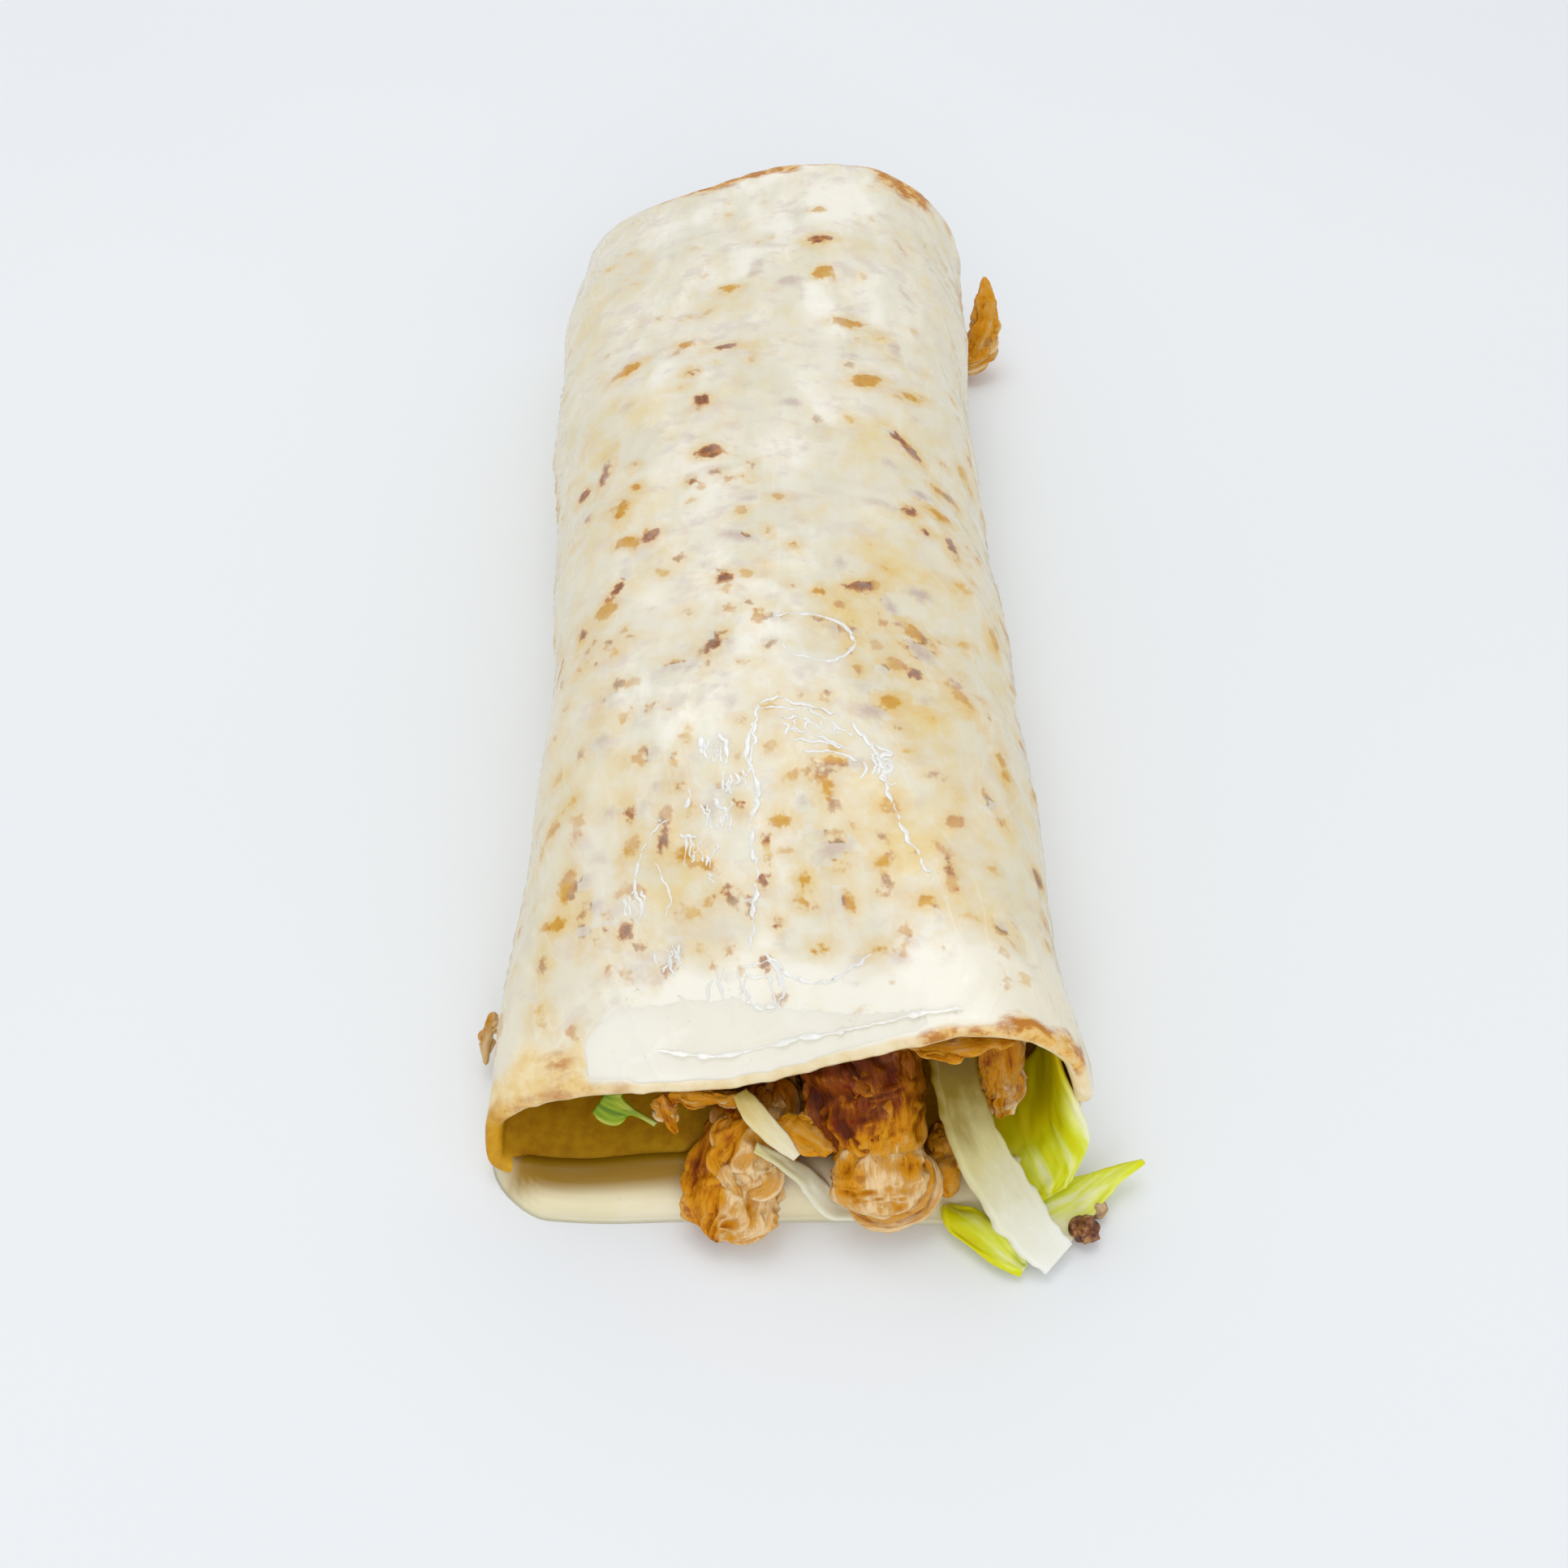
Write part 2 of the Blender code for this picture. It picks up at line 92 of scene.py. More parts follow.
def soft_box(name, place, aim, size, power):
    """A square area lamp at a place, in millimetres, turned to face a point."""
    lamp = bpy.data.lights.new(name, "AREA")
    lamp.size = size * MM
    lamp.energy = power
    lamp_object = bpy.data.objects.new(name, lamp)
    away = Vector(place) - Vector(aim)
    lamp_object.rotation_euler = away.to_track_quat("Z", "Y").to_euler()
    lamp_object.location = [value * MM for value in place]
    bpy.context.collection.objects.link(lamp_object)


soft_box("ceiling_panel", (-150.0, 320.0, 1120.0), (0.0, 0.0, 20.0), 800.0, 3.2)
soft_box("front_fill", (60.0, -900.0, 420.0), (0.0, -60.0, 10.0), 600.0, 2.0)
soft_box("glint_lamp", (-40.0, 190.0, 980.0), (0.0, -40.0, 30.0), 90.0, 0.10)
print("world", WORLD_STRENGTH, "and three soft boxes")

# %% [markdown]
# ## Shader maths
# Each finish is a small expression. `Signal` wraps one socket, so that + - * / on it add
# Math nodes, and `Finish` is one material: it makes every other node through one method,
# and its Principled shader takes the results. Colours are given as screen values and turned
# into light values, since that is what the shader multiplies.

# %% Signals and finishes
def operator(operation, swapped=False):
    """A method that adds one Math node on the signal and another value, in either order."""
    def apply(self, other):
        return self.maths(operation, *((other, self) if swapped else (self, other)))
    return apply


class Signal:
    """A value that changes over a surface: a node's output, with arithmetic."""

    def __init__(self, finish, socket):
        self.finish = finish
        self.socket = socket

    def maths(self, operation, *values):
        """One Math node on these values."""
        return self.finish.node("ShaderNodeMath", {"operation": operation},
                                dict(enumerate(values or (self,))))

    __add__ = __radd__ = operator("ADD")
    __sub__ = operator("SUBTRACT")
    __rsub__ = operator("SUBTRACT", swapped=True)
    __mul__ = __rmul__ = operator("MULTIPLY")
    __truediv__ = operator("DIVIDE")

    def clamp(self):
        """Kept between 0 and 1."""
        return self.finish.node("ShaderNodeClamp", {}, {"Value": self})

    def line(self, wide):
        """1 where the noise passes through a half, falling to 0 at wide from there."""
        return (1.0 - (self - 0.5).maths("ABSOLUTE") / wide).clamp()

    def rise(self, low, high):
        """Goes smoothly from 0 at low to 1 at high."""
        return self.finish.node("ShaderNodeMapRange", {"interpolation_type": "SMOOTHSTEP"},
                                {"Value": self, "From Min": low, "From Max": high})


def paint(red, green, blue):
    """A screen colour of 0 to 255 as the light that it reflects."""
    share = np.array([red, green, blue]) / 255.0
    light = np.where(share <= 0.04045, share / 12.92, ((share + 0.055) / 1.055)**2.4)
    return (*[float(value) for value in light], 1.0)


class Finish:
    """A material whose Principled shader is fed by signals."""

    def __init__(self, name, **constants):
        self.material = bpy.data.materials.new(name)
        self.material.use_nodes = True
        self.tree = self.material.node_tree
        self.shader = self.tree.nodes["Principled BSDF"]
        for socket, value in constants.items():
            self.shader.inputs[socket.replace("_", " ")].default_value = value

    def node(self, kind, settings, sockets, out=0):
        """One node: its settings are set first, then its sockets' values or links."""
        made = self.tree.nodes.new(kind)
        for key, value in settings.items():
            if key == "stops":
                self.set_stops(made.color_ramp, value)
            else:
                setattr(made, key, value)
        for key, value in sockets.items():
            self.feed(made.inputs[key], value)
        return Signal(self, made.outputs[out])

    def set_stops(self, ramp, stops):
        """Gives a colour ramp its places and colours."""
        while len(ramp.elements) < len(stops):
            ramp.elements.new(1.0)
        for element, (place, colour) in zip(ramp.elements, stops):
            element.position = place
            element.color = colour

    def feed(self, socket, value):
        """Links a signal, or sets a plain value."""
        if isinstance(value, Signal):
            self.tree.links.new(value.socket, socket)
        else:
            socket.default_value = value

    def place(self):
        """The point's place on the object, in metres."""
        return self.node("ShaderNodeTexCoord", {}, {}, "Object")

    def field(self, name, out="Fac"):
        """A value stored on the mesh's points."""
        return self.node("ShaderNodeAttribute", {"attribute_name": name}, {}, out)

    def noise(self, where, scale, detail=2.0, rough=0.5, warp=0.0):
        """Cloudy noise around 0.5, with scale counted per unit of where."""
        return self.node("ShaderNodeTexNoise", {}, {
            "Vector": where, "Scale": scale, "Detail": detail, "Roughness": rough,
            "Distortion": warp})

    def stretch(self, where, scale):
        """The place with each axis scaled by its own factor."""
        return self.node("ShaderNodeMapping", {}, {"Vector": where, "Scale": scale})

    def mix(self, share, colour_a, colour_b, blend="MIX"):
        """Colour a where share is 0, colour b where it is 1."""
        return self.node("ShaderNodeMix", {"data_type": "RGBA", "blend_type": blend},
                         {0: share, 6: colour_a, 7: colour_b}, 2)

    def ramp(self, share, stops):
        """A colour read from stops between 0 and 1."""
        return self.node("ShaderNodeValToRGB", {"stops": stops}, {"Fac": share})

    def bump(self, height, depth, strength):
        """Surface relief: depth, in millimetres, is the height of one unit."""
        return self.node("ShaderNodeBump", {}, {"Height": height, "Distance": depth * MM,
                                                "Strength": strength})

    def finish(self, **signals):
        """Feeds the shader and gives the material."""
        for socket, value in signals.items():
            self.feed(self.shader.inputs[socket.replace("_", " ")], value)
        return self.material


# %% Floor
floor_finish = Finish("floor", Roughness=0.7, Specular_IOR_Level=0.2)
floor_cloud = floor_finish.noise(floor_finish.place(), 6.0)
floor_colour = floor_finish.mix(floor_cloud, paint(237, 241, 245), paint(241, 244, 247))
floor_material = floor_finish.finish(Base_Color=floor_colour)

floor_mesh = bpy.data.meshes.new("floor")
floor_mesh.from_pydata([(-1, -1, 0), (1, -1, 0), (1, 1, 0), (-1, 1, 0)], [], [(0, 1, 2, 3)])
floor_mesh.materials.append(floor_material)
floor = bpy.data.objects.new("floor", floor_mesh)
bpy.context.collection.objects.link(floor)
print("floor 2 m square")

# %% [markdown]
# ## From numbers to meshes
# Every piece below is a grid of points worked out as whole arrays. Three kinds of closed
# grid are enough. A *pillow* is a sheet with a front and a back that meet at its rim. A
# *tube* runs round a path and closes in a point at each end. A *ring* closes on itself both
# ways. `place_piece` makes the mesh and turns it so that its faces point outwards, which it
# knows from the sign of the volume inside.

# %% Small maths helpers
CLOUD_GRID = 64


def smoothstep(low, high, value):
    """Goes from 0 at low to 1 at high with level ends."""
    t = np.clip((value - low) / (high - low), 0.0, 1.0)
    return t * t * (3.0 - 2.0 * t)


def band(low, full, until, end, value):
    """1 from full to until, falling to 0 with level ends at low and at end."""
    return smoothstep(low, full, value) * smoothstep(end, until, value)


def through(knots, values, at):
    """Smooth cubic through the values at the knots, read at the places given."""
    at = np.clip(at, knots[0], knots[-1])
    slope = np.gradient(values, knots, axis=0)
    i = np.clip(np.searchsorted(knots, at) - 1, 0, len(knots) - 2)
    step = knots[i + 1] - knots[i]
    t = (at - knots[i]) / step
    if values.ndim > 1:
        t = t[..., None]
        step = step[..., None]
    return ((2 * t**3 - 3 * t**2 + 1) * values[i] + (t**3 - 2 * t**2 + t) * step * slope[i]
            + (3 * t**2 - 2 * t**3) * values[i + 1] + (t**3 - t**2) * step * slope[i + 1])


def bell(*shares):
    """1 where every share is 0, falling off as e to the minus the sum of their squares."""
    return np.exp(-sum(share**2 for share in shares))


def quarter_round(share):
    """Height of a rounded rim: a quarter circle from 0 at the edge to 1 where share is 1."""
    return np.sqrt(1.0 - (1.0 - np.clip(share, 0.0, 1.0))**2)


def smoothed_line(values):
    """A row of values, each replaced by the mean of the nine round it."""
    return np.convolve(np.pad(values, 4, mode="edge"), np.full(9, 1 / 9), mode="valid")


def unit(vectors):
    """Vectors of length 1 along the last axis."""
    return vectors / np.maximum(np.linalg.norm(vectors, axis=-1, keepdims=True), 1e-9)


def cloud(x, y, seed, octaves=1):
    """Smooth noise from -1 to 1: random heights on a unit grid, joined by smooth steps.

    Each further octave adds the same at twice the fineness and half the height.
    """
    heights = np.random.default_rng(seed).uniform(-1.0, 1.0, (CLOUD_GRID, CLOUD_GRID))
    total = np.zeros(np.broadcast(x, y).shape)
    for octave in range(octaves):
        u = x * 2.0**octave + 17.3 * octave
        v = y * 2.0**octave + 9.1 * octave
        i = np.floor(u).astype(int)
        j = np.floor(v).astype(int)
        p = smoothstep(0.0, 1.0, u - i)
        q = smoothstep(0.0, 1.0, v - j)
        near, far = (heights[i % CLOUD_GRID, (j + k) % CLOUD_GRID] * (1 - p)
                     + heights[(i + 1) % CLOUD_GRID, (j + k) % CLOUD_GRID] * p for k in (0, 1))
        total = total + (near * (1 - q) + far * q) * 0.5**octave
    return total


# %% Grids that close
NO_TRIANGLES = np.zeros((0, 3), int)


def pillow(front, back):
    """Points and faces of a sheet whose front and back grids share their rim's points."""
    rows, columns = front.shape[:2]
    grid = np.arange(rows * columns).reshape(rows, columns)
    under = grid.copy()
    under[1:-1, 1:-1] = rows * columns + np.arange((rows - 2) * (columns - 2)).reshape(
        rows - 2, columns - 2)
    sides = []
    for face, order in ((grid, 1), (under, -1)):
        corners = [face[:-1, :-1], face[:-1, 1:], face[1:, 1:], face[1:, :-1]][::order]
        sides.append(np.stack(corners, axis=-1).reshape(-1, 4))
    return pillow_rows(front, back), np.concatenate(sides), NO_TRIANGLES


def pillow_rows(front, back):
    """One row for each of a pillow's points: its place, or a value or vector to store."""
    inner = back[1:-1, 1:-1]
    return np.concatenate([part.reshape(-1, *front.shape[2:]) for part in (front, inner)])


def tube(rings):
    """Points and faces through rings of points, closed by a point over each end."""
    count, around = rings.shape[:2]
    points = np.concatenate([rings.reshape(-1, 3), rings[:1].mean(axis=1),
                             rings[-1:].mean(axis=1)])
    grid = np.arange(count * around).reshape(count, around)
    after = np.roll(grid, -1, axis=1)
    quads = np.stack([grid[:-1], after[:-1], after[1:], grid[1:]], axis=-1).reshape(-1, 4)
    first = np.full(around, count * around)
    fans = [np.stack([first, after[0], grid[0]], axis=-1),
            np.stack([first + 1, grid[-1], after[-1]], axis=-1)]
    return points, quads, np.concatenate(fans)


def ring(grid):
    """Points and faces of a grid that closes on itself both ways."""
    index = np.arange(grid.shape[0] * grid.shape[1]).reshape(grid.shape[:2])
    right = np.roll(index, -1, axis=1)
    quads = np.stack([index, right, np.roll(right, -1, axis=0), np.roll(index, -1, axis=0)],
                     axis=-1).reshape(-1, 4)
    return grid.reshape(-1, 3), quads, NO_TRIANGLES


def joined(parts):
    """Several closed bodies as one list of points and faces."""
    starts = np.cumsum([0] + [len(points) for points, _, _ in parts])
    moved = [(points, quads + start, triangles + start)
             for (points, quads, triangles), start in zip(parts, starts)]
    return tuple(np.concatenate(kind) for kind in zip(*moved))


# %% Place a piece
LOWEST = 0.02


def mouth_shade_share(points):
    """How far a point is inside the mouth, from 0 to 1: the share of painted dim yellow shade."""
    return band(-101.0, -95.0, -60.0, -50.0, points[:, 1])


def place_piece(name, body, finish, nodes=(), fields=None):
    """Makes the mesh of one piece, with its stored values, and hides the solids it stands for."""
    points, quads, triangles = body
    points[:, 2] = np.maximum(points[:, 2], LOWEST)
    corners = np.concatenate([quads[:, [0, 1, 2]], quads[:, [0, 2, 3]], triangles])
    a, b, c = (points[corners[:, k]] for k in range(3))
    volume = np.einsum("ij,ij->i", a, np.cross(b, c)).sum() / 6.0
    if volume < 0.0:
        quads = quads[:, ::-1]
        triangles = triangles[:, ::-1]
    mesh = bpy.data.meshes.new(name)
    loops = np.concatenate([quads.ravel(), triangles.ravel()])
    sizes = np.concatenate([np.full(len(quads), 4), np.full(len(triangles), 3)])
    mesh.vertices.add(len(points))
    mesh.vertices.foreach_set("co", (points * MM).ravel())
    mesh.loops.add(len(loops))
    mesh.loops.foreach_set("vertex_index", loops)
    mesh.polygons.add(len(sizes))
    mesh.polygons.foreach_set("loop_start", np.cumsum(sizes) - sizes)
    mesh.update(calc_edges=True)
    mesh.shade_smooth()
    # Every piece stores its share of the mouth's painted shade, read by the chicken and lettuce
    # finishes.
    for key, values in {"cave": mouth_shade_share(points), **(fields or {})}.items():
        vector = np.ndim(values) == 2
        layer = mesh.attributes.new(key, "FLOAT_VECTOR" if vector else "FLOAT", "POINT")
        layer.data.foreach_set("vector" if vector else "value", np.ravel(values))
    mesh.materials.append(finish)
    made = bpy.data.objects.new(name, mesh)
    bpy.context.collection.objects.link(made)
    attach(made, "root")
    if nodes:
        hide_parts(*nodes)
    print(f"{name}: {len(corners)} triangles, {abs(volume) / 1000.0:.2f} ml")


# %% [markdown]
# ## The roll's shape
# The tortilla is one sheet, 196 mm along the roll and about 224 mm round it, rolled up once
# and a bit, so that it overlaps itself below. Seven cross-sections carry its form: squashed
# low on the left of the mouth, plump in the middle, and flat where it rests. A cross-section
# is a superellipse whose crown height changes from left to right. The sheet is then read off
# by its arc, the length round it, counted from the middle of the base round by the right,
# because toast marks and sauce are laid out on the sheet and not in space.

# %% Driving sizes of the roll
SHEET = 2.4
GAP = 0.45
MOUTH_Y = -98.0
FAR_Y = 98.0
LENGTH = FAR_Y - MOUTH_Y
FLAP = 8.0
TUCK = 14.0
CLIMB = (30.0, 11.0)
TOP_POWER = 2.6
BASE_POWER = 3.6
SINK = 0.8
FLARE = 0.3
ROW_STEP = 1000.0
HEADING_STEP = 0.6

# y, left and right side, height of the left and right fold, crown over the left and right,
# and where the crown's rise starts and ends
SECTIONS = np.array([
    (MOUTH_Y, -39.0, 41.5, 6.0, 15.0, 19.5, 40.5, -14.0, 44.0),
    (-80.0, -37.4, 40.2, 11.0, 16.0, 31.0, 41.0, -16.0, 42.0),
    (-55.0, -34.6, 38.4, 16.0, 18.0, 39.5, 43.0, -22.0, 38.0),
    (-10.0, -36.8, 36.9, 17.0, 18.0, 43.0, 43.0, -28.0, 34.0),
    (35.0, -40.4, 35.8, 17.0, 18.0, 41.5, 43.5, -30.0, 28.0),
    (70.0, -43.0, 36.4, 16.0, 18.0, 39.0, 44.0, -34.0, 22.0),
    (FAR_Y, -41.8, 36.6, 15.0, 18.0, 36.0, 44.5, -36.0, 20.0),
])
STATIONS = np.linspace(MOUTH_Y - 8.0, FAR_Y + 4.0, 141)
SHARES = np.linspace(0.0, 1.0, 901)


# %% Outlines at every station
def outlines(y):
    """The closed outlines at many y at once: x and z, one row for each y."""
    table = through(SECTIONS[:, 0], SECTIONS[:, 1:], y).T[..., None]
    left, right, fold_left, fold_right, crown_left, crown_right, rise_from, rise_to = table
    angle = np.linspace(-0.5 * np.pi, 1.5 * np.pi, 721)[None, :]
    power = np.where(np.sin(angle) >= 0.0, TOP_POWER, BASE_POWER)
    u = np.sign(np.cos(angle)) * np.abs(np.cos(angle))**(2.0 / power)
    v = np.sign(np.sin(angle)) * np.abs(np.sin(angle))**(2.0 / power)
    x = 0.5 * (left + right) + 0.5 * (right - left) * u
    fold = fold_left + (fold_right - fold_left) * 0.5 * (u + 1.0)
    crown = crown_left + (crown_right - crown_left) * smoothstep(rise_from, rise_to, x)
    z = np.where(v >= 0.0, fold + (crown - fold) * v, fold + (fold + SINK) * v)
    return x, np.maximum(z, 0.0)


def read_rows(at, knots, values):
    """Each row of values read at its own places: the rows are laid end to end, far apart."""
    apart = ROW_STEP * np.arange(len(knots))[:, None]
    return np.interp((at + apart).ravel(), (knots + apart).ravel(),
                     values.ravel()).reshape(at.shape)


def wrap_sheet(y, share):
    """The sheet's outer face at each y and share: x, z, outward normal, arc and girth.

    share runs from 0 at the outer flap's edge to 1 at the tucked edge. The sheet follows
    the outline, and its end climbs inside its own first layer.
    """
    x, z = outlines(y)
    steps = np.hypot(np.diff(x, axis=1), np.diff(z, axis=1))
    arc = np.concatenate([np.zeros((len(y), 1)), np.cumsum(steps, axis=1)], axis=1)
    girth = arc[:, -1:]
    along = -FLAP + share[None, :] * (girth + FLAP + TUCK)

    def spot_at(at):
        at = np.mod(at, girth)
        return np.stack([read_rows(at, arc, x), read_rows(at, arc, z)], axis=-1)

    ahead = unit(spot_at(along + HEADING_STEP) - spot_at(along - HEADING_STEP))
    normal = np.stack([ahead[..., 1], -ahead[..., 0]], axis=-1)
    inset = (SHEET + GAP) * smoothstep(girth - CLIMB[0], girth - CLIMB[1], along)
    spot = spot_at(along)
    rows = y[:, None]
    swell = 0.7 * np.sin(0.11 * rows + 0.07 * along) * np.sin(0.05 * rows - 0.09 * along + 1.0)
    swell = swell * smoothstep(4.0, 14.0, spot[..., 1])
    corner = smoothstep(34.0, 40.0, spot[..., 0]) * smoothstep(12.0, 19.0, spot[..., 1])
    flare = FLARE * corner * smoothstep(MOUTH_Y + 12.0, MOUTH_Y, rows)
    spot = spot + (swell + flare - inset)[..., None] * normal
    return np.concatenate([spot, normal, along[..., None]], axis=-1), girth[:, 0]


SHEET_TABLE, GIRTHS = wrap_sheet(STATIONS, SHARES)
print("girth", round(GIRTHS.min()), "to", round(GIRTHS.max()), "mm")


# %% Read the sheet anywhere
def read_sheet(share, y):
    """x, z, normal x, normal z and arc of the sheet, between the table's four nearest."""
    i = (y - STATIONS[0]) / (STATIONS[1] - STATIONS[0])
    j = share * (len(SHARES) - 1)
    i0 = np.clip(np.floor(i).astype(int), 0, len(STATIONS) - 2)
    j0 = np.clip(np.floor(j).astype(int), 0, len(SHARES) - 2)
    p = (i - i0)[..., None]
    q = (j - j0)[..., None]
    low, high = (SHEET_TABLE[i0 + k, j0] * (1 - q) + SHEET_TABLE[i0 + k, j0 + 1] * q
                 for k in (0, 1))
    return low * (1 - p) + high * p


def read_section(y, share=SHARES):
    """The sheet at one y, and which of it has climbed inside its own first layer."""
    table = read_sheet(share, np.full_like(share, y))
    return table, table[:, 4] > np.interp(y, STATIONS, GIRTHS) - CLIMB[1]


def off_sheet(table, y, height):
    """Points at this height over the sheet's outer face, from what read_sheet gives."""
    return np.stack([table[..., 0] + height * table[..., 2], y,
                     table[..., 1] + height * table[..., 3]], axis=-1)


def share_at(arc, y):
    """The share of the sheet that lies at an arc length, at each y."""
    return (arc + FLAP) / (np.interp(y, STATIONS, GIRTHS) + FLAP + TUCK)


def sheet_ends(share):
    """Where each line of the sheet starts at the mouth and ends at the far end."""
    near, inner = read_section(MOUTH_Y, share)
    x, z = near[:, 0], near[:, 1]
    low = smoothstep(9.0, 2.0, z)
    tip = smoothstep(38.0, 41.0, x) * smoothstep(14.0, 18.0, z) * smoothstep(27.0, 22.0, z)
    back = smoothstep(36.0, 39.0, x) * smoothstep(19.0, 17.0, z)
    mouth = MOUTH_Y - 3.6 * low * smoothstep(-9.0, -14.0, x) - 1.2 * tip + 1.2 * back
    mouth = np.where(inner, MOUTH_Y + 1.5, mouth)
    distant, inner = read_section(FAR_Y, share)
    x, z, arc = distant[:, 0], distant[:, 1], distant[:, 4]
    far = FAR_Y - 9.0 * smoothstep(26.0, 34.0, x) * smoothstep(17.0, 8.0, z)
    far = far + 2.4 * bell((x + 3.0) / 11.0) * smoothstep(20.0, 30.0, z)
    far = np.where(inner, FAR_Y - 3.0, far)
    uneven = 0.35 * cloud(arc / 6.0, 0.3 * arc / 6.0, 3) + 0.16 * cloud(arc / 1.8, 0.0, 4)
    return mouth + uneven, far + 1.3 * uneven


# %% [markdown]
# ## Toast marks
# A tortilla touches the griddle with its small bubbles, so each browned mark is the top of
# a blister: a spot with a crisp, ragged edge. The larger marks are set one by one on the
# sheet, by kind, and a few hundred small ones are strewn between them. For each point of the
# mesh the distance to the nearest mark's edge is stored, and the shader cuts the mark out of
# that distance with noise, which stays crisp however coarse the mesh is.

# %% The marks by kind
# y along the roll, arc round it, width round the roll and length along it
BROWN_MARKS = (
    (69.5, 95.5, 5, 3), (19.5, 112.8, 3, 3), (6, 110.8, 5.5, 3.5), (-1.5, 113.5, 1.8, 2.2),
    (-13.5, 119.8, 3, 3.5), (-24.5, 107.8, 3, 2.8), (-7.5, 79, 2.5, 2), (-12.5, 72, 2.5, 5),
    (-23, 125.3, 1.6, 4), (-29, 131.5, 2, 4), (-32, 138, 2.5, 5), (-38.5, 109.2, 1.8, 5),
    (-43.3, 80.3, 2, 2.2),
    (-61.7, 114, 1.4, 1.5), (-64.7, 121.5, 1.5, 3), (-65, 106, 1.5, 2), (-68.3, 116.4, 1.6, 4.5),
    (-70.7, 102.8, 1.3, 3.5), (-75.5, 103.3, 1.8, 2), (-76.5, 108.5, 1.8, 2.6),
    (-80.6, 101.7, 1.8, 1.6), (-76.5, 78.4, 1.4, 4), (-80.3, 122.6, 2.5, 3), (-85.3, 104, 2.5, 2),
    (35.5, 109.5, 5.5, 2), (10, 78.5, 2.4, 7), (5, 135, 3, 3.5), (6, 129.5, 2, 7),
    (28, 115, 2.5, 1.6), (-11, 77, 1.5, 1.5), (-26.5, 87.7, 4.5, 2.3),
)
TAN_MARKS = (
    (33.5, 127.5, 2.5, 7), (44.5, 89, 6, 3), (81, 95.5, 3, 3), (-27, 127, 4, 5), (-14, 123.5, 4, 3),
    (-6, 125, 1.8, 4.5), (-80.3, 82.2, 3, 2.2), (-59.3, 93, 3, 2), (-72.3, 131.5, 3, 5),
    (-77, 133, 3, 2.5), (-78.2, 98.6, 2, 2), (-79, 92.2, 1.8, 3), (-69, 121.2, 1.8, 4),
    (-72.7, 110.8, 1.8, 1.4), (-74, 87.3, 3, 2), (-86, 88.3, 2.5, 1.2), (-63, 135.5, 1.5, 5),
    (-57, 68.5, 1.5, 5), (-34, 80, 2.5, 5), (-33.5, 103, 1.8, 4), (24, 77, 5, 2), (-5, 73.5, 5, 2),
    (26, 85, 6, 4), (56, 111, 4, 3), (58.5, 94, 4, 4), (-1, 123.3, 2, 2), (-19, 97.3, 2, 2),
    (-0.8, 105.5, 1.5, 1.5), (-28, 94, 1.5, 1.5), (5, 123.5, 1.5, 1.5), (-84.5, 96.3, 2.5, 1.5),
    (-67.5, 100.5, 3, 2.4), (-46, 74, 2, 6), (38, 117, 4, 2), (-66, 85.6, 3, 2.5),
    (-71, 113.5, 3, 2), (-75.5, 98, 2, 2), (-49.5, 84.3, 4, 2.8), (-42, 83.6, 3.4, 3),
    (-63.6, 94, 1.8, 3.6),
)
MAUVE_MARKS = (
    (56, 100, 5, 3), (68, 104, 5, 2), (62, 106.5, 3, 3), (59.5, 106.5, 2.5, 2), (56, 78, 2, 5),
    (50, 86.5, 3, 1.5), (19, 98, 3.5, 2.5), (-7, 104.5, 2.2, 1.5), (-6.5, 84.5, 4.5, 1.3),
    (-29.5, 83.2, 1.6, 4), (-38, 79, 3, 5), (-43, 84.7, 1.5, 1.5), (-45, 97, 1.5, 1.5),
    (-51.5, 87.2, 4, 2.5), (-52, 126, 2.5, 2), (-56, 118.2, 2, 2), (-60, 89.3, 4, 1.2),
    (-63.5, 108, 3, 1.2), (-69.5, 94.5, 3, 1), (-76.2, 126.6, 2, 1.6), (-64.5, 72, 1.8, 1.8),
    (-93, 99, 3, 2), (-97, 93.5, 1, 1), (33, 88, 3, 2), (38, 79.5, 2, 4), (-2, 76.5, 3, 2),
    (-16, 106, 6, 2), (-42, 114, 6, 2), (-83.2, 115.8, 1.5, 3), (-25.5, 78, 4, 2.5),
    (-72, 94, 5, 2.4), (28.5, 111, 3, 2), (-78, 105.3, 2, 2), (-21.5, 90.5, 1.5, 2),
    (18, 76.5, 1.5, 1.5),
)
FAINT_MARKS = (
    (69.5, 92, 10, 5), (-51, 80.5, 8, 7), (-69.8, 73.3, 7, 4), (-81.5, 74.5, 6, 4),
    (-76.5, 117, 4, 3), (-74.5, 113.8, 3, 3), (-20, 82, 8, 9), (-70, 84, 9, 12), (-32, 90, 7, 8),
    (10, 84, 9, 10), (40, 82, 8, 8), (-4, 120, 8, 9), (-60, 124, 6, 9), (20, 122, 7, 9),
)
# the marks of a kind with their tone and strength
KINDS = ((BROWN_MARKS, 0.56, 1.0), (TAN_MARKS, 0.22, 1.0), (MAUVE_MARKS, 0.95, 0.8))
TOP_ARC = 102.0
NO_MARK = -9.0
MARK_LEAN = radians(30.0)
GLOW_REACH = 0.62


def strewn_marks(count, seed, near, far, right, left):
    """Small freckles at random over part of the sheet: rows as above, with a tone each."""
    dice = np.random.default_rng(seed)
    y = dice.uniform(near, far, count)
    arc = dice.uniform(right, left, count)
    size = dice.uniform(0.6, 2.0, count)
    shape = dice.uniform(0.7, 1.6, count)
    tone = dice.choice([0.1, 0.25, 0.25, 0.4, 0.6, 0.95], count)
    on_top = (arc > 66.0) & (arc < 142.0)
    size = np.where(on_top, size, size * 1.7)
    strength = np.where(on_top, 0.7, 0.8) * (1.0 - 0.35 * smoothstep(0.0, 60.0, y))
    return np.stack([y, arc, size * shape, size / shape * 1.3, tone, strength], axis=-1)


